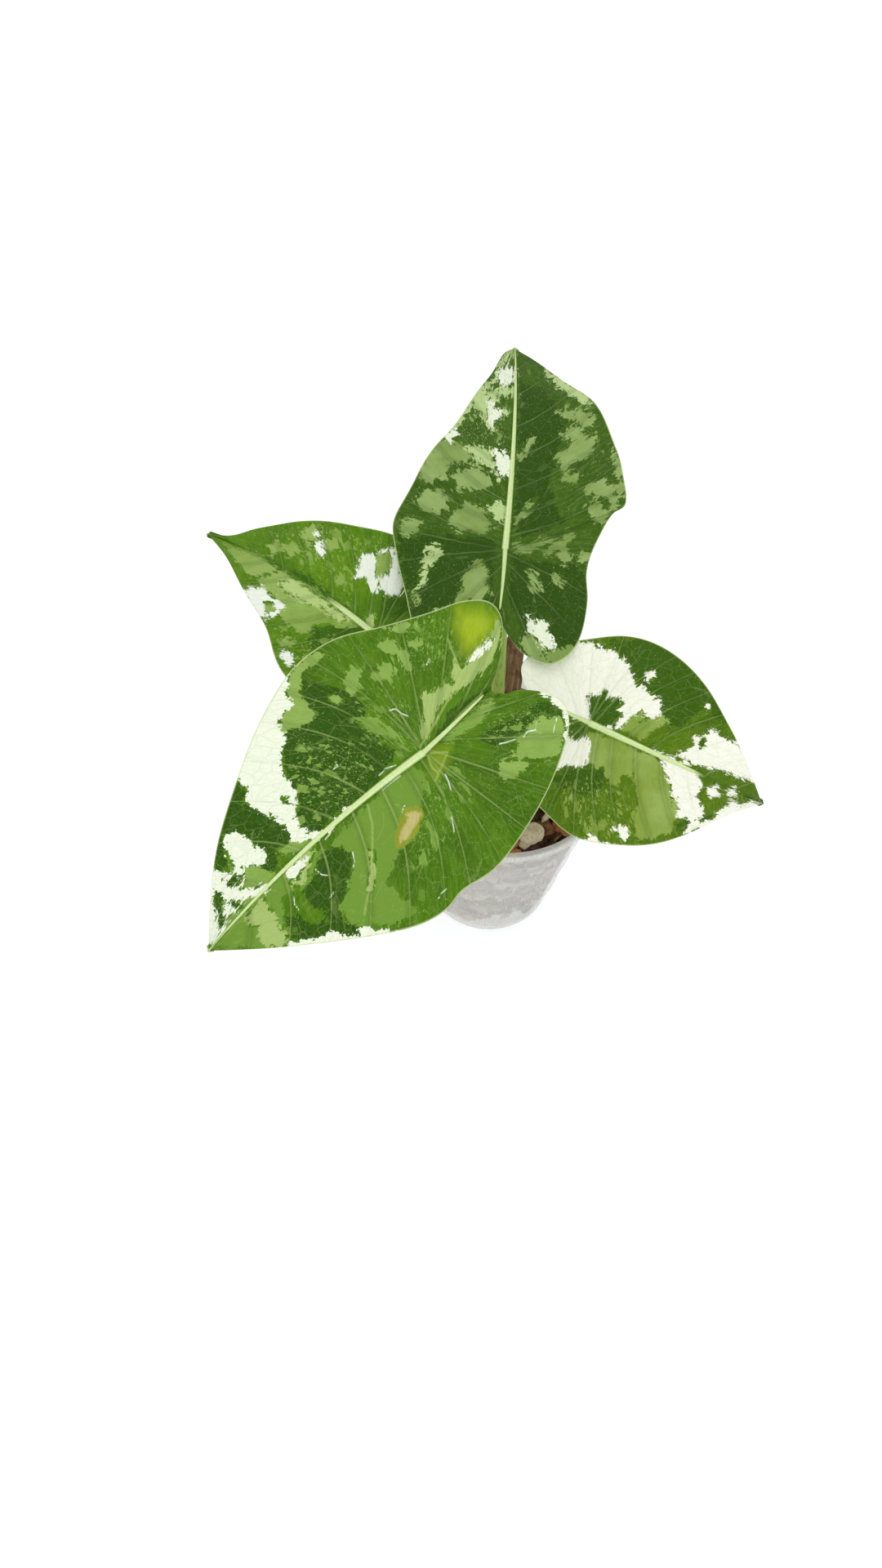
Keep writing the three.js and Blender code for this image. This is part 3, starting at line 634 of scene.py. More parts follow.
# %% Markings of the back leaf
back_patches = [
    ("deep", "left lobe", [
        (484, 650), (505, 662), (530, 655), (560, 660), (590, 655), (606, 660), (604, 740), (560, 790),
        (505, 760), (494, 700)]),
    ("deep", "right half", [
        (636, 470), (668, 480), (690, 520), (684, 560), (670, 600), (690, 640), (640, 660), (628, 640),
        (634, 560)]),
    ("deep", "right lobe", [
        (628, 680), (660, 690), (705, 690), (722, 720), (720, 790), (690, 800), (640, 770), (622, 730)]),
    ("sage", "right a", [
        (684, 507), (700, 503), (712, 500), (722, 511), (724, 520), (711, 524), (700, 512), (690, 512)]),
    ("sage", "right b", [(688, 531), (700, 525), (714, 524), (706, 539), (694, 542)]),
    ("sage", "right c", [
        (680, 563), (690, 552), (700, 548), (712, 540), (727, 534), (725, 552), (712, 560), (700, 566),
        (693, 579)]),
    ("sage", "right d", [
        (718, 601), (722, 592), (736, 590), (748, 597), (753, 607), (758, 616), (750, 622), (742, 609),
        (732, 611)]),
    ("sage", "right e", [(719, 622), (735, 620), (743, 631), (740, 641), (730, 636)]),
    ("sage", "right f", [(692, 588), (704, 584), (716, 584), (704, 592)]),
    ("sage", "by the joint", [
        (630, 669), (645, 668), (660, 662), (676, 660), (662, 668), (650, 676), (634, 675)]),
    ("sage", "right lobe a", [
        (665, 676), (675, 668), (690, 662), (697, 652), (703, 654), (693, 668), (697, 688), (690, 691),
        (684, 675), (672, 681)]),
    ("sage", "right lobe b", [(648, 700), (656, 702), (656, 714), (662, 722), (650, 723)]),
    ("sage", "right lobe c", [(680, 703), (688, 707), (688, 717), (678, 713)]),
    ("sage", "right lobe d", [(716, 679), (722, 685), (717, 693), (711, 686)]),
    ("sage", "midrib right", [(634, 556), (646, 545), (652, 538), (646, 552), (637, 562)]),
    ("sage", "midrib right low", [(630, 634), (645, 622), (656, 612), (646, 628), (634, 640)]),
    ("sage", "right margin", [(750, 545), (757, 562), (762, 590), (762, 612), (757, 604), (754, 575)]),
    ("pale", "right tip margin", [
        (668, 452), (680, 456), (700, 470), (714, 482), (724, 493), (714, 497), (702, 486), (690, 479),
        (676, 467)]),
    ("sage", "bottom lobe", [
        (637, 788), (650, 779), (661, 789), (668, 800), (690, 798), (700, 795), (690, 812), (660, 810),
        (645, 802)]),
    ("cream", "bottom lobe", [
        (645, 755), (653, 759), (659, 768), (664, 763), (672, 766), (669, 778), (676, 786), (681, 791),
        (675, 798), (664, 789), (656, 779), (648, 771)]),
    ("deep", "bottom islands", [(660, 793), (668, 796), (670, 806), (660, 804)]),
    ("pale", "left tip margin", [
        (600, 470), (612, 442), (624, 426), (634, 426), (622, 446), (612, 452), (608, 466), (598, 480),
        (584, 487), (572, 505), (560, 520), (550, 530), (546, 524), (566, 494), (584, 472)]),
    ("cream", "tip", [(612, 454), (624, 449), (632, 456), (628, 468), (618, 472), (609, 465)]),
    ("pale", "left tip", [
        (583, 487), (600, 478), (612, 476), (630, 474), (632, 486), (614, 485), (606, 491), (610, 500),
        (620, 506), (612, 519), (604, 529), (596, 520), (588, 511), (581, 500)]),
    ("cream", "left tip core", [(600, 492), (612, 504), (614, 512), (604, 522), (598, 512)]),
    ("cream", "left margin", [(545, 533), (558, 525), (562, 531), (552, 541)]),
    ("sage", "left wide", [
        (520, 566), (534, 546), (550, 540), (566, 541), (572, 552), (580, 561), (566, 566), (552, 570),
        (545, 582), (530, 592), (516, 584)]),
    ("pale", "left streak", [
        (572, 545), (586, 545), (597, 549), (606, 553), (613, 549), (620, 560), (627, 568), (627, 581),
        (616, 586), (610, 590), (604, 579), (594, 570), (584, 561), (574, 554)]),
    ("cream", "left streak core", [
        (604, 553), (612, 548), (618, 558), (626, 566), (625, 579), (612, 585), (606, 572)]),
    ("sage", "left middle", [
        (554, 586), (570, 577), (585, 574), (595, 582), (600, 592), (590, 600), (574, 603), (558, 600)]),
    ("sage", "left low a", [
        (510, 611), (520, 602), (536, 600), (540, 608), (546, 621), (535, 629), (522, 622)]),
    ("sage", "left low b", [(491, 640), (502, 635), (515, 641), (508, 653), (500, 659), (492, 651)]),
    ("pale", "joint patch", [(598, 622), (610, 616), (622, 617), (622, 634), (618, 642), (606, 636)]),
    ("sage", "left low c", [
        (555, 629), (570, 618), (588, 620), (594, 634), (600, 649), (590, 655), (575, 648), (562, 653),
        (554, 641)]),
    ("pale", "left lobe a", [
        (524, 674), (536, 668), (541, 676), (530, 688), (524, 700), (520, 714), (510, 720), (515, 700)]),
    ("sage", "left lobe b", [(504, 720), (512, 726), (510, 740), (505, 738)]),
    ("sage", "left lobe c", [
        (569, 706), (578, 696), (590, 688), (596, 700), (594, 714), (600, 726), (590, 734), (574, 730),
        (562, 738), (566, 722)]),
    ("pale", "hidden lobe", [(530, 750), (552, 748), (566, 762), (560, 780), (542, 786), (528, 770)]),
    ("sage", "hidden lobe low", [(580, 760), (598, 752), (602, 770), (588, 784)]),
    ("fleck", "right", [(690, 500), (725, 505), (735, 550), (700, 560)]),
    ("fleck", "left of the tip", [(560, 510), (600, 470), (626, 500), (620, 545), (580, 548), (560, 530)]),
]
print("back leaf:", len(back_patches), "patches")

# %% Markings of the left leaf
left_patches = [
    ("deep", "below the band", [
        (384, 766), (410, 765), (440, 768), (470, 772), (490, 800), (450, 830), (400, 812), (378, 792)]),
    ("deep", "above midrib", [
        (352, 700), (372, 700), (400, 724), (424, 744), (440, 758), (420, 752), (392, 730), (366, 712)]),
    ("deep", "by the margin", [(470, 735), (500, 728), (505, 750), (485, 758), (468, 750)]),
    ("sage", "band", [
        (318, 712), (334, 704), (350, 700), (366, 712), (386, 722), (402, 738), (426, 752), (442, 764),
        (430, 767), (404, 764), (382, 766), (376, 776), (362, 772), (346, 754), (334, 742), (322, 728)]),
    ("pale", "band core", [
        (340, 712), (358, 710), (378, 722), (398, 736), (420, 750), (428, 760), (408, 758), (394, 744),
        (372, 738), (350, 726)]),
    ("sage", "tip", [(276, 668), (300, 674), (322, 684), (338, 694), (334, 702), (310, 706), (292, 690)]),
    ("cream", "margin", [
        (300, 724), (306, 718), (322, 720), (336, 732), (346, 742), (340, 751), (324, 757), (306, 744)]),
    ("sage", "margin inner", [(322, 738), (336, 738), (342, 746), (330, 752), (322, 746)]),
    ("cream", "lobe", [(341, 801), (350, 796), (358, 799), (363, 810), (356, 814), (348, 809)]),
    ("cream", "big patch", [
        (438, 690), (444, 679), (462, 676), (486, 675), (492, 692), (492, 704), (496, 720), (490, 727),
        (478, 729), (462, 724), (452, 722), (449, 708), (436, 707)]),
    ("sage", "in the patch", [
        (460, 681), (476, 676), (484, 680), (480, 698), (470, 705), (464, 716), (459, 700)]),
    ("sage", "upper a", [(328, 668), (338, 663), (342, 674), (334, 682)]),
    ("sage", "upper b", [(398, 662), (412, 664), (414, 672), (403, 678)]),
    ("sage", "upper c", [(348, 668), (360, 664), (366, 674), (355, 681)]),
    ("sage", "upper d", [(372, 648), (384, 646), (396, 654), (384, 664), (374, 660)]),
    ("cream", "upper e", [(387, 668), (396, 666), (399, 676), (394, 683), (389, 677)]),
    ("cream", "upper f", [(387, 653), (393, 651), (393, 660), (388, 659)]),
    ("sage", "upper g", [(378, 680), (388, 682), (384, 690), (376, 688)]),
    ("sage", "middle", [(415, 704), (424, 702), (422, 716), (414, 714)]),
    ("pale", "joint", [(450, 758), (456, 752), (460, 768), (452, 776)]),
    ("sage", "lower margin", [(340, 784), (352, 780), (360, 788), (350, 794)]),
    ("dim", "midrib toward the tip", [
        (240, 640), (300, 650), (400, 700), (420, 740), (390, 750), (330, 720), (250, 670)]),
    ("fleck", "upper", [(330, 650), (400, 640), (470, 665), (430, 740), (380, 700)]),
    ("fleck", "lower", [(330, 760), (400, 770), (440, 790), (400, 830), (350, 820)]),
]
print("left leaf:", len(left_patches), "patches")

# %% Markings of the right leaf
right_patches = [
    ("deep", "outer band", [
        (744, 786), (790, 780), (842, 798), (880, 832), (898, 872), (884, 886), (860, 868), (834, 890),
        (808, 884), (800, 856), (780, 838), (762, 808)]),
    ("cream", "upper lobe", [
        (620, 800), (700, 780), (718, 788), (735, 792), (752, 795), (758, 802), (766, 810), (772, 817),
        (773, 827), (781, 838), (795, 848), (801, 854), (808, 856), (807, 876), (795, 880), (780, 873),
        (770, 879), (762, 889), (754, 895), (738, 892), (720, 884), (704, 879), (684, 872), (640, 850),
        (620, 825)]),
    ("deep", "lobe patch", [
        (720, 852), (733, 850), (742, 843), (746, 856), (758, 849), (762, 861), (757, 867), (762, 878),
        (756, 885), (752, 892), (738, 890), (722, 884)]),
    ("sage", "by midrib a", [(759, 893), (768, 882), (784, 870), (789, 875), (778, 884), (766, 895)]),
    ("sage", "by midrib b", [(772, 896), (790, 880), (806, 876), (816, 885), (800, 892), (784, 904)]),
    ("cream", "toward tip above", [
        (818, 925), (840, 920), (852, 912), (850, 903), (864, 901), (870, 894), (878, 898), (884, 905),
        (893, 905), (912, 920), (936, 958), (918, 956), (900, 950), (885, 945), (860, 938), (842, 932)]),
    ("deep", "tip island", [(852, 906), (862, 903), (864, 912), (856, 917)]),
    ("cream", "base", [
        (640, 880), (700, 888), (700, 900), (720, 905), (723, 916), (718, 936), (705, 939), (690, 936),
        (672, 944), (650, 930)]),
    ("deep", "base patch", [(694, 882), (716, 888), (720, 896), (712, 903), (704, 907), (697, 900)]),
    ("sage", "wedge a", [
        (722, 899), (745, 903), (760, 906), (768, 914), (776, 930), (776, 946), (765, 948), (752, 959),
        (745, 952), (740, 940), (726, 936), (718, 931)]),
    ("sage", "wedge b", [
        (774, 918), (800, 925), (812, 940), (820, 960), (822, 985), (829, 1000), (822, 1016), (800, 1024),
        (780, 1028), (773, 1000), (782, 985), (780, 960), (774, 945)]),
    ("deep", "lower lobe", [
        (676, 952), (690, 946), (700, 938), (708, 948), (716, 940), (738, 938), (744, 956), (728, 972),
        (700, 972), (682, 962)]),
    ("cream", "band", [
        (802, 919), (822, 925), (842, 940), (856, 950), (858, 965), (852, 976), (860, 990), (858, 1004),
        (872, 1012), (840, 1020), (846, 1005), (830, 1001), (826, 980), (820, 960), (812, 938)]),
    ("cream", "toward tip below", [
        (858, 1004), (872, 1000), (884, 990), (896, 982), (908, 986), (920, 980), (940, 988), (900, 1004),
        (862, 1018)]),
    ("cream", "tip hole a", [(867, 965), (878, 961), (881, 972), (870, 975)]),
    ("cream", "tip hole b", [(889, 967), (900, 964), (903, 976), (893, 975)]),
    ("sage", "band island", [(820, 980), (829, 978), (830, 990), (823, 994)]),
    ("deep", "lower island", [(827, 1008), (840, 1001), (849, 1004), (842, 1014), (828, 1017)]),
    ("deep", "tip islands", [(857, 999), (870, 995), (880, 997), (870, 1004), (860, 1008)]),
    ("cream", "spot a", [(790, 825), (799, 821), (800, 831), (792, 833)]),
    ("cream", "spot b", [(864, 863), (869, 862), (871, 869), (867, 871)]),
    ("cream", "spot c", [
        (750, 1016), (757, 1009), (768, 1014), (766, 1020), (774, 1030), (764, 1026), (756, 1018)]),
    ("cream", "lower margin", [(700, 1030), (722, 1024), (736, 1031), (770, 1036), (730, 1042)]),
    ("sage", "spot d", [(694, 975), (700, 973), (700, 980), (693, 981)]),
    ("dim", "midrib toward the tip", [
        (845, 925), (900, 950), (950, 975), (950, 1000), (890, 985), (850, 960)]),
    ("fleck", "lower lobe", [(680, 960), (740, 950), (790, 1000), (780, 1036), (730, 1030), (690, 1000)]),
]
print("right leaf:", len(right_patches), "patches")

# %% [markdown]
# A blade is one grid: its rows are the veins that fan out from the midrib, and its columns run from the
# right margin over the midrib to the left margin. A subdivided and sculpted plane would also do, but on this
# grid a vein is simply a row. Between the veins the blade bulges a little, the midrib stands up, and a
# Solidify modifier, thicker along the ribs, gives the sheet its body and a second skin below.

# %% Blades
blade_thickness = 0.8
rib_depth = 1.3
deepest = blade_thickness + rib_depth
vein_rows = {
    "left": (0.035, 0.10, 0.20, 0.30, 0.38, 0.45, 0.52, 0.58, 0.65, 0.72, 0.79, 0.86, 0.93),
    "right": (0.04, 0.12, 0.22, 0.31, 0.40, 0.48, 0.55, 0.61, 0.68, 0.75, 0.82, 0.89, 0.95),
}
ripple_phase = {"left": 0.6, "right": 2.4}
fan_start = 0.48
vein_sweep = 0.09
crowding_inward = 1.15
fade_at_sinus = 7
quilt_height, quilt_width = 0.6, 1.8
rib_height = 0.3
trough_depth, trough_away, trough_width = 0.25, 2.2, 1.1
pucker_height = 0.2
vein_depth, vein_width = 0.35, 0.5
midrib_thin, midrib_swell, lobe_swell = 0.25, 0.85, 0.55
flat_by_margin, flat_by_rib = 0.25, 0.12
thinner_by_margin = 0.6
rib_lost_by_tip = 0.6
reach_on_map = 40
halves_apart_on_map = 20


def vein_foot(leaf, s):
    """Where on the midrib the vein starts that ends at share s of the outline."""
    lobe = -leaf["sinus"] * np.clip(1 - s / fan_start, 0, 1) ** 3
    side = leaf["length"] * np.clip((s - fan_start) / (1 - fan_start), 0, 1) ** 1.5
    return np.where(s < fan_start, lobe, side)


def midrib_half_width(leaf, u):
    """Half the width of the pale midrib, in millimetres."""
    ahead = midrib_thin + midrib_swell * np.clip(1 - u / leaf["length"], 0, 1) ** 1.1
    behind = midrib_thin + lobe_swell * np.clip(1 + u / leaf["sinus"], 0, 1)
    return np.where(u < 0, behind, ahead)


def half_blade(leaf, half, rows, columns):
    """Where the points of one half lie, in the leaf's frame, and what the material needs to know there."""
    s = np.linspace(0, 1, rows + 1)
    t = (np.arange(columns + 1) / columns) ** crowding_inward
    margin, outline_length = half_outline(leaf, half, s)
    foot_u = vein_foot(leaf, s)
    foot = np.column_stack([foot_u, midrib_offset(leaf, foot_u)])
    reach = margin - foot
    flat = foot[:, None] + reach[:, None] * t[None, :, None]
    sweep = vein_sweep * np.linalg.norm(reach, axis=1) * smooth_step(s, 0.35, 0.6)
    flat[..., 0] -= sweep[:, None] * np.sin(np.pi * t)
    u, v = flat[..., 0], flat[..., 1]
    across = np.broadcast_to(t, u.shape)
    along = np.broadcast_to(s[:, None], u.shape)

    row_gap = np.linalg.norm(np.gradient(flat, axis=0), axis=-1)
    veins = np.rint(np.array(vein_rows[half]) * rows)
    rows_away = np.abs(np.arange(rows + 1)[:, None] - veins[None]).min(1)
    vein_gap = rows_away[:, None] * row_gap
    rib_gap = np.abs(v - midrib_offset(leaf, u))
    rib_share = rib_gap / midrib_half_width(leaf, u)
    rib_end = smooth_step(u, -leaf["sinus"], fade_at_sinus - leaf["sinus"])
    rib_end = rib_end * (1 - rib_lost_by_tip * np.clip(u / leaf["length"], 0, 1))

    wave = leaf["wave"] * across**3 * np.sin(np.pi * along)
    wave = wave * np.sin(2 * np.pi * leaf["waves"] * along + ripple_phase[half])
    fading = np.clip((1 - across) / flat_by_margin, 0, 1) * np.clip(across / flat_by_rib, 0, 1)
    quilt = quilt_height * (1 - np.exp(-vein_gap / quilt_width)) * fading
    trough = trough_depth * np.exp(-(((rib_gap - trough_away) / trough_width) ** 2))
    rib = rib_height * np.exp(-(rib_share**2)) - trough
    puckers = pucker_height * np.sin(u / 2.3 + v / 3.1) * np.sin(v / 2.1 - u / 4.3) * fading
    height = surface_height(leaf, u, v) + wave + quilt + rib * rib_end + puckers

    side = 1 if half == "left" else -1
    body = blade_thickness * (1 - thinner_by_margin * across**2)
    body = body + rib_depth * np.exp(-(rib_share**2) / 2) * rib_end
    body += vein_depth * np.exp(-((vein_gap / vein_width) ** 2)) * fading
    return {
        "points": np.dstack([u, v, height]),
        "base": np.dstack([u, v, surface_height(leaf, u, v)]),
        "across": across,
        "midrib": rib_share + 4 * (1 - smooth_step(u, -leaf["sinus"] - 1, 4 - leaf["sinus"])),
        "vein": vein_gap,
        "fan": side * (along * outline_length + halves_apart_on_map),
        "reach": across * reach_on_map,
        "body": np.clip(body / deepest, 0.05, 1),
    }


def blade_sheet(name, leaf, rows, columns):
    """One blade's upper skin, with its numbers stored on its points."""
    piece, row, column = add_grid(name, rows, 2 * columns)
    halves = {half: half_blade(leaf, half, rows, columns) for half in ("left", "right")}
    away = columns - column
    known = {}
    for key in halves["left"]:
        left = halves["left"][key][row, np.abs(away)]
        right = halves["right"][key][row, np.abs(away)]
        on_left = away >= 0 if left.ndim == 1 else (away >= 0)[:, None]
        known[key] = np.where(on_left, left, right)
    matrix = leaf_matrix(leaf)
    put_points(piece, carried(known["points"], matrix))
    for key in ("across", "midrib", "vein"):
        store(piece, key, known[key])
    store_map(piece, "veins", known["fan"], known["reach"])
    thick = piece.vertex_groups.new(name="body")
    for index, share in enumerate(known["body"]):
        thick.add([index], float(share), "REPLACE")
    return piece, photo_pixels(carried(known["base"], matrix))


def near_sides(points, starts, ends):
    """How far points lie from the nearest of some straight sides."""
    sides = ends - starts
    away = points[:, None] - starts
    share = np.clip((away * sides).sum(-1) / (sides**2).sum(-1), 0, 1)
    return np.linalg.norm(away - share[..., None] * sides, axis=-1).min(1)


def near_line(points, line):
    knots = np.array(line, float)
    return near_sides(points, knots[:-1], knots[1:])


def inside_by(points, outline):
    """How far points lie inside a closed outline. Outside it, the number is negative."""
    starts = np.array(outline, float)
    ends = np.roll(starts, -1, axis=0)
    nearest = near_sides(points, starts, ends)
    straddles = (starts[:, 1] > points[:, 1:]) != (ends[:, 1] > points[:, 1:])
    slant = (ends - starts)[:, 0] / np.where(starts[:, 1] == ends[:, 1], 1, (ends - starts)[:, 1])
    crossing = starts[:, 0] + slant * (points[:, 1:] - starts[:, 1])
    inside = (straddles & (points[:, :1] < crossing)).sum(1) % 2 == 1
    return np.where(inside, nearest, -nearest)


layered = ("deep", "moss", "sage", "pale", "cream")
overlaid = ("fleck", "yellow", "scar", "dim")
furthest = 30


def store_patches(piece, pixels, patches, lines):
    """How far inside each tone's patches, and how far from the lines, each point lies, in photo pixels."""
    fields = {tone: np.full(len(pixels), -float(furthest)) for tone in layered + overlaid}
    for tone, _, outline in patches:
        depth = inside_by(pixels, outline)
        fields[tone] = np.maximum(fields[tone], depth)
        for other in layered:
            if tone in layered and other != tone:
                fields[other] = np.minimum(fields[other], -depth)
    for tone, field in fields.items():
        store(piece, tone, np.clip(field, -furthest, furthest))
    for name, drawn in lines.items():
        away = [near_line(pixels, line) for line in drawn]
        store(piece, name, np.min([np.full(len(pixels), furthest), *away], axis=0))


def finish_blade(piece):
    merge_doubles(piece)
    apply_modifier(piece, "SOLIDIFY", thickness=deepest * MM, offset=-1, vertex_group="body",
                   thickness_vertex_group=0.05, use_even_offset=False, material_offset=1,
                   material_offset_rim=0)
    smooth(piece, angle=60)


print("side veins:", {half: len(rows) for half, rows in vein_rows.items()})

# %% [markdown]
# One recipe serves every blade. It lays tone over tone: the leaf's own green, then deep green, moss, sage,
# pale and cream patches, each cut off where its stored depth plus a ragged edge passes nought. The edge
# jumps from cell to cell of a Voronoi pattern laid on the vein map, as real variegation jumps from one
# small vein to the next. Veins with painted shade along their grooves, scars, thin white lines, pale fold
# lines that are partly painted highlight, a painted highlight along the margin, and the midrib with painted
# shade beside it come last. The lower skin has the same markings, greyer and duller, as on the real leaf.

# %% Leaf finish
yellowed = colour(170, 192, 30)
fold_vein_and_highlight_tone = colour(180, 205, 110)
wound_edge = colour(150, 156, 44)
wound_middle = colour(206, 194, 130)
white_line_tone = colour(236, 246, 224)
margin_highlight_tone = colour(208, 222, 160)
midrib_edge = colour(178, 206, 112)
midrib_tone = colour(226, 244, 180)
lower_tone = colour(140, 164, 110)
leaf_gloss = 0.09
white_line_width = 0.85
fold_line_width = 1.1
islet_size, small_islet_size = 2.6, 0.9
cell_stretch, streak_stretch = 0.72, 0.22
net_size, net_line = 1.3, 0.045
cross_vein_size, cross_vein_line = 4.2, 0.022
sage_growth = 1.2
margin_start = 0.992


def between(first, second, share):
    """A colour part of the way from one to another."""
    return [a + (b - a) * share for a, b in zip(first, second)]


def leaf_finish(name, green, deep, sage, pale, cream, ragged, softness=1.2, veined=1, under=False):
    paint = Paint(name, Specular_IOR_Level=leaf_gloss)
    veins = paint.map("veins")
    drawn = paint.map("veins", (1, cell_stretch, 1))
    place = paint.place()
    broad = paint.noise(place, 20, detail=3, roughness=0.6)
    islets = paint.islets(drawn, islet_size)
    small_islets = paint.islets(drawn, small_islet_size)
    spots = (paint.noise(veins, 0.9, detail=1) - 0.6).most(0)
    specks = spots - (paint.noise(drawn, 0.8, detail=1) - 0.62).most(0)
    edge = (islets - 0.5) * (1.6 * ragged) + (small_islets - 0.5) * (0.9 * ragged) + specks * (7 * ragged)
    streaks = paint.noise(paint.map("veins", (1, streak_stretch, 1)), 1.3, detail=4, roughness=0.7)
    net = (net_line - paint.cells(drawn, net_size, "DISTANCE_TO_EDGE")).above(0, 0.05)
    cross_veins = (cross_vein_line - paint.cells(drawn, cross_vein_size, "DISTANCE_TO_EDGE")).above(0, 0.03)

    def inside(patch, growth=0):
        return (paint.attribute(patch) + edge).above(-growth, softness)

    paint.tone = paint.mix(broad.above(0.54, 0.3) * 0.6, green, deep)
    paint.coat(streaks.above(0.56, 0.2) * 0.32, deep)
    paint.coat((0.42 - streaks).above(0, 0.16) * 0.18, sage)
    paint.coat(inside("deep"), paint.mix(streaks.above(0.45, 0.2) * 0.14, deep, green))
    paint.coat((paint.attribute("yellow") + islets * 4).above(8, 24) * 0.85, yellowed)

    crowd = paint.attribute("fleck").above(0, 14)
    dust = paint.noise(drawn, 0.55, detail=1) + crowd * 0.06 + broad * 0.1
    paint.coat(dust.above(0.76, 0.03) * 0.8, sage)
    paint.coat((small_islets + crowd * 0.12).above(1.03, 0.04) * 0.75, sage)
    paint.coat((islets + crowd * 0.13).above(1.0, 0.05) * 0.7, sage)
    paint.coat(dust.above(0.82, 0.02) * 0.8, pale)

    paint.coat(inside("moss"), between(sage, green, 0.55))
    sage_tone = paint.mix(streaks.above(0.5, 0.2) * 0.3, sage, between(sage, green, 0.5))
    sage_tone = paint.mix((0.5 - broad).above(0, 0.25) * 0.15, sage_tone, green)
    sage_tone = paint.mix(broad.above(0.48, 0.2) * 0.25, sage_tone, pale)
    paint.coat(inside("sage", sage_growth), sage_tone)
    paint.coat(inside("pale"), pale)
    cream_share = inside("cream")
    paint.coat(cream_share, paint.mix(streaks.above(0.55, 0.2) * 0.08, cream, pale))

    vein = paint.attribute("vein")
    across = paint.attribute("across")
    lines = (0.42 - across * 0.3 - vein).above(0, 0.3) * broad.above(0.42, 0.3)
    # deep green along the veins: painted shade in the sunken vein grooves
    paint.coat((1.3 - vein).above(0, 1.4) * (1 - cream_share) * 0.22, deep)
    light = (lines * 0.45 + cross_veins * 0.18 + net * 0.08) * veined
    paint.coat(light * (1 - cream_share * 0.75), pale)
    # pale fold lines: partly pale veins, partly painted highlight on the fold ridges
    paint.coat((fold_line_width - paint.attribute("fold_line")).above(0, 2.2) * 0.65, fold_vein_and_highlight_tone)
    scar = paint.attribute("scar") + (islets - 0.5) * 5
    paint.coat(scar.above(0, 1.5) * 0.9, wound_edge)
    paint.coat((scar + (streaks - 0.5) * 9).above(6, 3) * 0.8, wound_middle)
    # thin white lines, varied in strength
    white_line = (white_line_width - paint.attribute("white_line")).above(0, 0.55)
    paint.coat(white_line * (0.6 + small_islets * 0.4), white_line_tone)
    # a painted highlight along the blade's edge
    paint.coat(across.above(margin_start, 0.008) * 0.7, margin_highlight_tone)

    rib_share = paint.attribute("midrib")
    # deep green beside the midrib: painted shade in the trough along the raised midrib
    paint.coat((1.9 - rib_share).above(0, 0.8) * (1 - cream_share) * 0.3, deep)
    shown = 1 - paint.attribute("dim").above(4, 20)
    paint.coat((1.1 - rib_share).above(0, 0.3) * shown * 0.9, midrib_edge)
    paint.coat((0.8 - rib_share).above(0, 0.4) * shown * 0.95, midrib_tone)
    if under:
        paint.coat(0.4, lower_tone)

    relief = paint.noise(place, 0.7, detail=2) * 0.5 - cross_veins * 0.8 - lines - net * 0.4 + islets * 0.12
    paint.bump(relief, strength=0.5, distance_mm=0.3)
    return paint.finish(Base_Color=paint.tone, Roughness=(0.6 if under else 0.4) + streaks * 0.2)


front_tones = dict(
    green=colour(84, 130, 0), deep=colour(40, 78, 0), sage=colour(140, 176, 78),
    pale=colour(172, 196, 112), cream=colour(246, 252, 228), ragged=4)
back_tones = dict(
    green=colour(68, 104, 16), deep=colour(44, 78, 3), sage=colour(141, 168, 88),
    pale=colour(192, 214, 144), cream=colour(246, 252, 226), ragged=5, softness=2, veined=0.4)
left_tones = dict(
    green=colour(97, 144, 4), deep=colour(53, 94, 0), sage=colour(145, 175, 80),
    pale=colour(190, 214, 132), cream=colour(250, 255, 240), ragged=4, softness=2.5, veined=0.5)
right_tones = dict(
    green=colour(89, 123, 0), deep=colour(53, 91, 0), sage=colour(146, 170, 72),
    pale=colour(182, 206, 128), cream=colour(255, 255, 238), ragged=3.6, softness=2, veined=0.7)
front_lines = {"white_line": front_white_lines, "fold_line": front_fold_lines}
no_lines = {"white_line": [], "fold_line": []}
leaf_looks = {
    "front": dict(patches=front_patches, lines=front_lines, tones=front_tones, rows=300, columns=70),
    "back": dict(patches=back_patches, lines=no_lines, tones=back_tones, rows=240, columns=48),
    "left": dict(patches=left_patches, lines=no_lines, tones=left_tones, rows=220, columns=44),
    "right": dict(patches=right_patches, lines=no_lines, tones=right_tones, rows=220, columns=44),
}
for name, look in leaf_looks.items():
    blade, seen_at = blade_sheet(f"leaf_{name}", leaf_shapes[name], look["rows"], look["columns"])
    store_patches(blade, seen_at, look["patches"], look["lines"])
    finish_blade(blade)
    upper = leaf_finish(f"leaf {name} upper", **look["tones"])
    lower = leaf_finish(f"leaf {name} lower", under=True, **look["tones"])
    dress(blade, "leaf_blade", [upper, lower], f"blade_{name}")

# %% [markdown]
# The stalks rise from the crown and bend over to meet each blade from below. A curve object with a bevel
# would make a tube as well; a grid wrapped round the curve keeps the groove on the inner side of the foot,
# where a real alocasia stalk opens into a sheath, and gives the finish a map that runs along the stalk.

# %% Stalks
crown_low, crown_high = (np.array(corner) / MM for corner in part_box("crown"))
crown_middle = (crown_low + crown_high) / 2
print("the crown stands at", crown_middle[:2].round(1), "mm")
socket_ring = 6.2
socket_height = 92
stalk_lean = math.radians(12)
stalk_radii = {"foot": 2.4, "base": 3.1, "tip": 2.0, "flare": 2.7}
share_into_rib = 0.6
groove_depth, groove_width = 0.3, 0.5
ridge_count, ridge_share = 9, 0.012
foot_span, taper_span, flare_span, groove_span = (0, 0.14), (0.1, 0.8), (0.93, 1), (0.18, 0.4)
map_round_stalk = 18
stalk_low, stalk_high = colour(160, 168, 84), colour(138, 172, 58)
stalk_fibre, stalk_dash = colour(176, 198, 104), colour(96, 112, 56)
stalk_blush, stalk_collar = colour(150, 112, 92), colour(120, 158, 60)


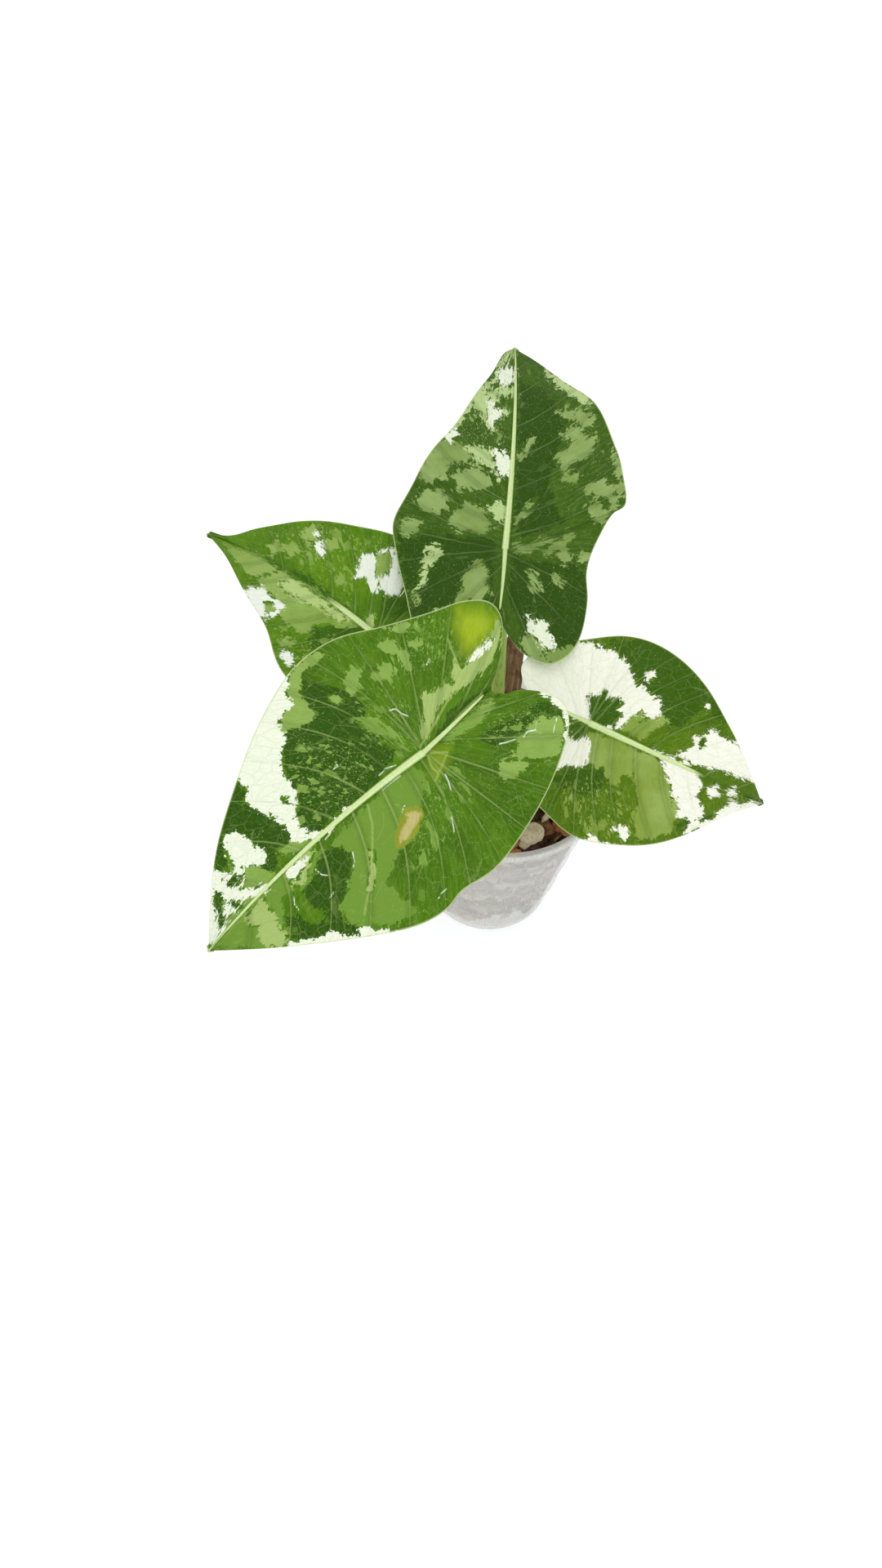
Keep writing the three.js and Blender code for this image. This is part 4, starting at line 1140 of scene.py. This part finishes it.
def stalk_curve(leaf, shares):
    """Points and directions along a stalk's centre line, in millimetres."""
    angle = math.radians(leaf["socket"])
    outward = np.array([math.cos(angle), math.sin(angle), 0])
    foot = np.array([crown_middle[0], crown_middle[1], socket_height]) + outward * socket_ring
    matrix = np.array(leaf_matrix(leaf))
    normal = unit(matrix[:3, :3] @ np.array([-4 * leaf["arch"] / leaf["length"], 0, 1]))
    top = matrix[:3, 3] - normal * (blade_thickness + share_into_rib * rib_depth)
    reach = np.linalg.norm(top - foot) / 3
    rise = unit(outward * math.tan(stalk_lean) + np.array([0, 0, 1]))
    handles = np.array([foot, foot + rise * reach, top - normal * reach, top])
    ahead = shares[:, None]
    left = 1 - ahead
    weights = np.hstack([left**3, 3 * ahead * left**2, 3 * ahead**2 * left, ahead**3])
    centre = weights @ handles
    return centre, unit(np.gradient(centre, axis=0)), -outward


def add_stalk(name, leaf, rows=84, columns=28):
    piece, row, column = add_grid(name, rows, columns)
    shares = np.linspace(0, 1, rows + 1)
    centre, ahead, inward = stalk_curve(leaf, shares)
    frames = []
    for direction in ahead:
        inward = unit(inward - direction * (inward @ direction))
        frames.append((inward, np.cross(direction, inward)))
    frames = np.array(frames)
    foot, base, tip, flare = stalk_radii.values()
    radius = base + (tip - base) * smooth_step(shares, *taper_span)
    radius = foot + (radius - foot) * smooth_step(shares, *foot_span)
    radius += (flare - radius) * smooth_step(shares, *flare_span)
    angle = 2 * np.pi * column / columns
    groove = groove_depth * np.exp(-((np.minimum(angle, 2 * np.pi - angle) / groove_width) ** 2))
    groove = groove * (1 - smooth_step(shares[row], *groove_span))
    ridges = ridge_share * np.cos(ridge_count * angle)
    out = radius[row] * (1 - groove + ridges)
    side = frames[row, 0] * np.cos(angle)[:, None] + frames[row, 1] * np.sin(angle)[:, None]
    put_points(piece, (centre[row] + side * out[:, None]) * MM)
    length = np.linalg.norm(np.diff(centre, axis=0), axis=1).sum()
    store(piece, "along", shares[row])
    store_map(piece, "stalk", column / columns * map_round_stalk, shares[row] * length)
    merge_doubles(piece)
    edit(piece)
    bpy.ops.mesh.fill_holes(sides=0)
    bpy.ops.mesh.normals_make_consistent(inside=False)
    bpy.ops.object.mode_set(mode="OBJECT")
    smooth(piece, angle=60)
    return piece, length


def stalk_finish():
    paint = Paint("leaf stalk", Specular_IOR_Level=0.4)
    fibres = paint.noise(paint.map("stalk", (1, 0.12, 1)), 1.1, detail=3, roughness=0.6)
    dashes = paint.noise(paint.map("stalk", (1, 0.4, 1)), 1.6, 2)
    along = paint.attribute("along")
    paint.tone = paint.mix(along.above(0.35, 0.7), stalk_low, stalk_high)
    paint.coat(fibres.above(0.5, 0.3) * 0.5, stalk_fibre)
    paint.coat(dashes.above(0.6, 0.08) * 0.55, stalk_dash)
    paint.coat((0.16 - along).above(0, 0.14) * 0.6, stalk_blush)
    paint.coat(along.above(0.975, 0.02) * 0.6, stalk_collar)
    paint.bump(fibres, strength=0.4, distance_mm=0.3)
    return paint.finish(Base_Color=paint.tone, Roughness=0.38 + dashes * 0.2)


stalk_paint = stalk_finish()
for name, leaf in leaf_shapes.items():
    stalk, length = add_stalk(f"stalk_{name}", leaf)
    print("stalk", name, "is", round(length), "mm long")
    dress(stalk, "leaf_stalk", [stalk_paint], f"petiole_{name}")

# %% [markdown]
# Old leaves leave their sheaths behind: brown papery spears that clasp the crown. They are thin, ragged
# along the top and wrinkled lengthwise. Cloth could crumple them, but they are stiff with age, so they are
# laid out by formula over the CAD sheaths and given a thin body.

# %% Old sheaths
old_sheaths = {
    "back": {"azimuth": 74, "height": 84, "spread": 48, "lean": 17, "curl_in": 0.3},
    "left": {"azimuth": 215, "height": 40, "spread": 34, "lean": 9, "curl_in": 0.3},
    "front": {"azimuth": -78, "height": 27, "spread": 30, "lean": 7, "curl_in": 0.25},
}
sheath_root = 89
sheath_thickness = 0.4
map_round_sheath = 14
narrowing = 0.72
long_wrinkle, cross_wrinkle = 0.28, 0.18
edge_roll = 0.9
lower_corners = 0.07
sheath_dark, sheath_light = colour(126, 88, 62), colour(184, 146, 116)
sheath_stain, sheath_tip = colour(86, 52, 40), colour(178, 140, 108)
clasp_radius = crown_high[0] - crown_middle[0] + 0.85


def add_sheath(name, old, rows=70, columns=40):
    piece, row, column = add_grid(name, rows, columns)
    around = 2 * column / columns - 1
    ragged = 0.035 * np.sin(9 * around + 1.3) + 0.025 * np.sin(23 * around) + 0.05 * around**2
    along = row / rows * (1 - ragged * row / rows)
    width = old["spread"] * (1 - narrowing * along**1.6)
    angle = np.radians(old["azimuth"] + around * width)
    middle = math.radians(old["azimuth"])
    wrinkle = long_wrinkle * np.sin(17 * around + 3 * along) * along
    wrinkle = wrinkle + cross_wrinkle * np.sin(31 * along + 5 * around)
    roll = edge_roll * np.abs(around) ** 5 * along
    radius = clasp_radius * (1 - old["curl_in"] * along) + wrinkle - roll
    shift = old["lean"] * along**1.7 + clasp_radius * old["curl_in"] * along
    top = old["height"] * along * (1 - lower_corners * around**2 * along)
    x = crown_middle[0] + radius * np.cos(angle) + shift * math.cos(middle)
    y = crown_middle[1] + radius * np.sin(angle) + shift * math.sin(middle)
    put_points(piece, np.column_stack([x, y, sheath_root + top]) * MM)
    store(piece, "along", along)
    store_map(piece, "sheath", around * map_round_sheath, along * old["height"])
    apply_modifier(piece, "SOLIDIFY", thickness=sheath_thickness * MM, offset=0)
    smooth(piece, angle=60)
    return piece


def sheath_finish():
    paint = Paint("dried sheath", Specular_IOR_Level=0.3)
    fibres = paint.noise(paint.map("sheath", (1, 0.07, 1)), 0.9, detail=4, roughness=0.65)
    stains = paint.noise(paint.place(), 7, detail=3, roughness=0.6)
    paint.tone = paint.mix(fibres.above(0.5, 0.25), sheath_dark, sheath_light)
    paint.coat(stains.above(0.56, 0.15) * 0.7, sheath_stain)
    paint.coat(paint.attribute("along").above(0.86, 0.16) * 0.6, sheath_tip)
    paint.bump(fibres, strength=0.7, distance_mm=0.4)
    return paint.finish(Base_Color=paint.tone, Roughness=0.5 + fibres * 0.3)


sheath_paint = sheath_finish()
for name, old in old_sheaths.items():
    dress(add_sheath(f"sheath_{name}", old), "dried_sheath", [sheath_paint], f"old_sheath_{name}")

# %% [markdown]
# Pieces that are lumps rather than sheets start from their own CAD solid: a copy is merged, rounded with a
# Subdivision Surface and roughened with Displace. That keeps each stone and chip where the part has it. A
# rock generator would be quicker, but its stones would have to be fitted into the mix again.

# %% Lumps from CAD solids
stone_light, stone_dark = colour(226, 214, 188), colour(196, 176, 142)
stone_pore, stone_stain = colour(138, 114, 86), colour(160, 124, 84)
bark_red, bark_light, bark_stain = colour(118, 68, 38), colour(186, 126, 76), colour(70, 42, 28)
old_bark, fresh_bark = colour(58, 40, 30), colour(196, 148, 98)
crown_dark, crown_light, crown_stain = colour(126, 104, 66), colour(176, 162, 106), colour(86, 62, 42)


def rough_copy(node, name, levels, grain_mm, depth_mm):
    """A rounded, roughened copy of a CAD node."""
    select_only(frame["nodes"][node])
    bpy.ops.object.duplicate()
    piece = bpy.context.object
    for key in list(piece.keys()):
        del piece[key]
    bpy.ops.object.parent_clear(type="CLEAR_KEEP_TRANSFORM")
    call(piece, name)
    merge_doubles(piece, within_mm=0.01)
    apply_modifier(piece, "SUBSURF", levels=levels, render_levels=levels)
    clouds = bpy.data.textures.new(f"{name} grain", "CLOUDS")
    clouds.noise_scale = grain_mm * MM
    clouds.noise_depth = 3
    apply_modifier(piece, "DISPLACE", texture=clouds, strength=depth_mm * MM, mid_level=0.5)
    smooth(piece, angle=50)
    return piece


def pumice_finish():
    paint = Paint("pumice", Specular_IOR_Level=0.2)
    place = paint.place()
    patches = paint.noise(place, 5, detail=3, roughness=0.6)
    pores = paint.cells(place, 1.1)
    paint.tone = paint.mix(patches, stone_light, stone_dark)
    paint.coat((0.22 - pores).above(0, 0.1) * 0.7, stone_pore)
    paint.coat(paint.noise(place, 9, detail=2).above(0.62, 0.1) * 0.4, stone_stain)
    paint.bump(pores.least(0.5) + patches * 0.4, strength=0.8, distance_mm=0.5)
    return paint.finish(Base_Color=paint.tone, Roughness=0.85 + patches * 0.1)


def bark_finish(name="bark", tinted=False):
    paint = Paint(name, Specular_IOR_Level=0.2)
    place = paint.place()
    layers = paint.noise(paint.place((1, 0.35, 0.6)), 1.3, detail=4, roughness=0.65)
    stains = paint.noise(place, 6, detail=2)
    paint.tone = paint.mix(layers.above(0.5, 0.3), bark_red, bark_light)
    paint.coat(stains.above(0.52, 0.2) * 0.7, bark_stain)
    if tinted:
        tint = paint.attribute("tint")
        paint.coat((0.45 - tint).above(0, 0.3) * 0.8, old_bark)
        paint.coat((tint - 0.8).above(0, 0.2) * 0.5, fresh_bark)
    paint.bump(layers, strength=0.8, distance_mm=0.5)
    return paint.finish(Base_Color=paint.tone, Roughness=0.75 + stains * 0.2)


pumice_paint = pumice_finish()
bark_paint = bark_finish()
for node in sorted(frame["nodes"]):
    if node.startswith("pumice"):
        lump = rough_copy(node, f"lump_{node}", levels=3, grain_mm=3.5, depth_mm=1.1)
        dress(lump, "pumice", [pumice_paint], node)
    elif node.startswith("bark"):
        chip = rough_copy(node, f"chip_{node}", levels=3, grain_mm=2.0, depth_mm=0.7)
        dress(chip, "bark", [bark_paint], node)


def crown_finish():
    paint = Paint("crown", Specular_IOR_Level=0.25)
    rings = paint.noise(paint.place((0.25, 0.25, 1)), 1.6, detail=3, roughness=0.6)
    paint.tone = paint.mix(rings.above(0.5, 0.3), crown_dark, crown_light)
    paint.coat(paint.noise(paint.place(), 5, detail=3).above(0.55, 0.12) * 0.7, crown_stain)
    paint.bump(rings, strength=0.8, distance_mm=0.8)
    return paint.finish(Base_Color=paint.tone, Roughness=0.6 + rings * 0.25)


crown = rough_copy("crown", "stem_crown", levels=1, grain_mm=2.5, depth_mm=0.5)
dress(crown, "crown", [crown_finish()], "crown")

# %% [markdown]
# The cup is a thin moulded wall: a flat foot, a taper with three stiffening ribs, a step below the top and a
# rolled lip. It is a turned shape, so its profile is extruded point by point and spun about the axis, which
# is how it would be drawn by hand. The drainage holes are cut with a Boolean. Screw or a lathe of curves
# would give the same wall.

# %% Cup
cup_height = 104
rim_radius = 47.5
wall_top_radius = 45.3
foot_radius = 29.5
wall = 1.0
cup_floor = 1.2
ledge_height = 90
ledge_step = 0.9
rib_heights = (24, 46, 68)
rib_relief = 0.5
rib_half_width = 2.2
rib_steps = (-2.2, -1.4, -0.7, 0, 0.7, 1.4, 2.2)
ledge_shares = (0, 0.15, 0.5, 0.85, 1)
foot_bend = [(0.01, 0), (27.6, 0), (28.6, 0.12), (29.25, 0.5), (29.5, 1.2)]
below_lip = 99.2
lip = [
    (45.6, 99.6), (46.9, 99.9), (47.4, 100.4), (rim_radius, 101), (rim_radius, 102.7), (47.25, 103.5),
    (46.6, 103.95), (45.9, cup_height), (45.1, 103.9), (44.6, 103.3),
]
inner_corners = [(101, 101.6), (90.2, 90.2), (89.2, 89.2), (2.4, 2.4)]
inner_bend = 1.4
plastic_clear, plastic_cloudy = colour(240, 238, 231), colour(226, 224, 217)


def cup_radius(z):
    taper = (wall_top_radius - ledge_step - foot_radius) / (cup_height - cup_floor)
    return foot_radius + taper * (z - cup_floor) + ledge_step * (z >= ledge_height)


def cup_profile():
    """Radius and height of the cup's section, from the middle below, round the lip, to the middle inside."""
    section = list(foot_bend)
    for height in rib_heights:
        for step in rib_steps:
            relief = rib_relief * math.cos(step / rib_half_width * math.pi / 2) ** 2
            section.append((cup_radius(height + step) + relief, height + step))
    for share in ledge_shares:
        section.append((cup_radius(ledge_height - 1) + ledge_step * share, ledge_height - 1 + share))
    section += [(cup_radius(below_lip), below_lip), *lip]
    section += [(cup_radius(level) - wall, height) for level, height in inner_corners]
    section += [(cup_radius(inner_bend) - wall - 0.5, 1.5), (27, cup_floor), (0.01, cup_floor)]
    return section


def add_turned(name, section, steps):
    """A section of (radius, height) points in millimetres spun about the vertical axis."""
    bpy.ops.object.select_all(action="DESELECT")
    start = (section[0][0] * MM, 0, section[0][1] * MM)
    bpy.ops.mesh.primitive_plane_add(size=MM, location=start)
    piece = bpy.context.object
    call(piece, name)
    bpy.ops.object.transform_apply(location=True)
    bpy.ops.object.mode_set(mode="EDIT")
    bpy.ops.mesh.select_all(action="SELECT")
    bpy.ops.mesh.merge(type="CENTER")
    for (radius, height), (next_radius, next_height) in zip(section, section[1:]):
        step = ((next_radius - radius) * MM, 0, (next_height - height) * MM)
        bpy.ops.mesh.extrude_region_move(TRANSFORM_OT_translate={"value": step})
    bpy.ops.mesh.select_all(action="SELECT")
    bpy.ops.mesh.spin(steps=steps, angle=math.tau, center=(0, 0, 0), axis=(0, 0, 1))
    bpy.ops.mesh.select_all(action="SELECT")
    bpy.ops.mesh.remove_doubles(threshold=0.03 * MM)
    bpy.ops.mesh.normals_make_consistent(inside=False)
    bpy.ops.object.mode_set(mode="OBJECT")
    return piece


def cut_holes(piece, count, ring, radius):
    cutters = []
    for index in range(count):
        angle = math.tau * index / count
        bpy.ops.object.select_all(action="DESELECT")
        place = (ring * math.cos(angle) * MM, ring * math.sin(angle) * MM, 0)
        size = {"radius": radius * MM, "depth": 6 * MM}
        bpy.ops.mesh.primitive_cylinder_add(vertices=20, location=place, **size)
        cutters.append(bpy.context.object)
    for cutter in cutters:
        cutter.select_set(True)
    bpy.ops.object.join()
    cutter = bpy.context.object
    apply_modifier(piece, "BOOLEAN", object=cutter, operation="DIFFERENCE", solver="EXACT")
    bpy.data.objects.remove(cutter)


def plastic_finish():
    paint = Paint("clear plastic", Specular_IOR_Level=0.9)
    place = paint.place()
    haze = paint.noise(place, 18, detail=3)
    scuffs = paint.noise(paint.place((1, 1, 0.25)), 1.5, detail=3, roughness=0.7).above(0.62, 0.12)
    paint.tone = paint.mix(haze, plastic_clear, plastic_cloudy)
    cloudy = 0.32 + haze * 0.14 + scuffs * 0.12
    paint.bump(haze + scuffs * 0.1, strength=0.3, distance_mm=0.4)
    return paint.finish(Base_Color=paint.tone, Roughness=0.14 + haze * 0.1 + scuffs * 0.2, Alpha=cloudy)


cup = add_turned("cup_wall", cup_profile(), steps=96)
cut_holes(cup, count=5, ring=18, radius=2.5)
smooth(cup, angle=35)
dress(cup, "clear_plastic", [plastic_finish()], "cup")

# %% [markdown]
# Behind the wall and on top lies chunky mix: bark, pumice, perlite and fibre. Each kind is modelled once,
# small and simple, and hundreds of copies are turned, sized and tinted at random from a fixed seed, then
# pressed against the wall. A particle system would scatter them too, but copies with their own mesh are
# what the export keeps.

# %% Potting mix
rng = np.random.default_rng(11)
soil_edge = 93.5
soil_crown = 98
mix_clearance = 0.35
core_inset = 4.6
core_heights = (6, 20, 40, 60, 80, 87)
core_foot = [(0.01, 2.2), (24, 2.2)]
core_top = [(38, 90.5), (30, 92), (16, 95.5), (0.01, 96)]
core_lump, core_relief = 7, 2.5
crown_room = 12.5
lowest_chunk, band_height, crowding_up = 2, 89, 0.7
top_reach, nearest_share = 42, 0.06
smallest_chunk, largest_chunk = 0.6, 1.25
chunk_tilt = 0.3
chip_bevel = 0.35
fibre_radius = 0.09
earth_dark, earth_light, earth_crumb = colour(58, 42, 32), colour(112, 84, 62), colour(132, 104, 76)


def mix_height(x, y):
    from_crown = np.hypot(x - crown_middle[0], y - crown_middle[1])
    mound = np.clip(1 - (from_crown - crown_room) / (rim_radius - crown_room), 0, 1)
    return soil_edge + (soil_crown - soil_edge) * mound


def earth_finish():
    paint = Paint("potting mix", Specular_IOR_Level=0.15)
    place = paint.place()
    crumbs = paint.cells(place, 1.7)
    grit = paint.noise(place, 2.5, detail=4, roughness=0.7)
    paint.tone = paint.mix(grit.above(0.5, 0.3), earth_dark, earth_light)
    paint.coat((0.25 - crumbs).above(0, 0.15) * 0.4, earth_crumb)
    paint.bump(crumbs + grit, strength=0.9, distance_mm=1.2)
    return paint.finish(Base_Color=paint.tone, Roughness=0.85 + grit * 0.1)


core_wall = [(cup_radius(z) - wall - core_inset, z) for z in core_heights]
core = add_turned("mix_core", [*core_foot, *core_wall, *core_top], steps=64)
lumps = bpy.data.textures.new("mix lumps", "CLOUDS")
lumps.noise_scale = core_lump * MM
apply_modifier(core, "SUBSURF", levels=2, render_levels=2)
apply_modifier(core, "DISPLACE", texture=lumps, strength=core_relief * MM, mid_level=0.6)
smooth(core, angle=50)
dress(core, "potting_mix", [earth_finish()], "potting_mix")


def template(kind):
    """One chunk of a kind, about 1 mm in half size, at the origin."""
    bpy.ops.object.select_all(action="DESELECT")
    if kind == "bark":
        bpy.ops.mesh.primitive_cube_add(size=2)
    elif kind == "fibre":
        lying = (0, math.pi / 2, 0)
        bpy.ops.mesh.primitive_cylinder_add(vertices=5, radius=fibre_radius, depth=2, rotation=lying)
    else:
        bpy.ops.mesh.primitive_ico_sphere_add(subdivisions=1, radius=1)
    piece = bpy.context.object
    bpy.ops.object.transform_apply(rotation=True)
    edit(piece)
    if kind == "bark":
        bpy.ops.mesh.bevel(offset=chip_bevel, segments=1)
    if kind == "fibre":
        bpy.ops.mesh.subdivide(number_cuts=3)
    bpy.ops.transform.vertex_random(offset=0.05 if kind == "fibre" else 0.16, seed=4)
    bpy.ops.object.mode_set(mode="OBJECT")
    return piece


def scatter(kind, by_wall, on_top, half, slot, material):
    """Copies of a chunk behind the wall and on top of the mix, joined into one piece."""
    model = template(kind)
    base = points_of(model)
    copies = []
    for index in range(by_wall + on_top):
        angle = rng.uniform(0, math.tau)
        size = np.array(half) * rng.uniform(smallest_chunk, largest_chunk, 3)
        if index < by_wall:
            z = lowest_chunk + band_height * rng.uniform(0, 1) ** crowding_up
            radius = cup_radius(z) - wall - mix_clearance - size.min() * 0.6
            tip = Matrix.Rotation(angle, 4, "Z") @ Matrix.Rotation(math.pi / 2, 4, "Y")
            turn = tip @ Matrix.Rotation(rng.uniform(0, math.tau), 4, "Z")
        else:
            radius = top_reach * math.sqrt(rng.uniform(nearest_share, 1.0))
            turn = Matrix.Rotation(rng.uniform(0, math.tau), 4, "Z")
            z = float(mix_height(radius * math.cos(angle), radius * math.sin(angle))) - 0.2 * size.min()
        turn = turn @ Matrix.Rotation(rng.normal(0, chunk_tilt), 4, "X")
        turn = turn @ Matrix.Rotation(rng.normal(0, chunk_tilt), 4, "Y")
        shape = (base * size) @ np.array(turn.to_3x3()).T
        middle = np.array([radius * math.cos(angle), radius * math.sin(angle), z])
        copy = model.copy()
        copy.data = model.data.copy()
        bpy.context.scene.collection.objects.link(copy)
        put_points(copy, (shape + middle) * MM)
        store(copy, "tint", np.full(len(base), rng.uniform(0, 1)))
        copies.append(copy)
    bpy.data.objects.remove(model)
    select_only(*copies)
    bpy.ops.object.join()
    piece = bpy.context.object
    call(piece, f"mix_{kind}")
    press_inside(piece)
    smooth(piece, angle=30)
    dress(piece, slot, [material])


def press_inside(piece):
    """Moves whatever pokes out through the wall or the floor back in, as if pressed flat against it."""
    points = points_of(piece) / MM
    points[:, 2] = np.maximum(points[:, 2], cup_floor + mix_clearance)
    radius = np.hypot(points[:, 0], points[:, 1])
    limit = cup_radius(points[:, 2]) - wall - mix_clearance
    points[:, :2] *= np.minimum(1, limit / np.maximum(radius, 0.01))[:, None]
    put_points(piece, points * MM)


mixed_bark = bark_finish("mixed bark", tinted=True)
scatter("bark", by_wall=300, on_top=70, half=(4.6, 3.1, 1.5), slot="bark", material=mixed_bark)
scatter("pumice", by_wall=260, on_top=26, half=(3.4, 2.7, 1.9), slot="pumice", material=pumice_paint)
scatter("perlite", by_wall=260, on_top=40, half=(1.6, 1.4, 1.1), slot="pumice", material=pumice_paint)
scatter("fibre", by_wall=120, on_top=40, half=(7, 4, 4), slot="bark", material=mixed_bark)
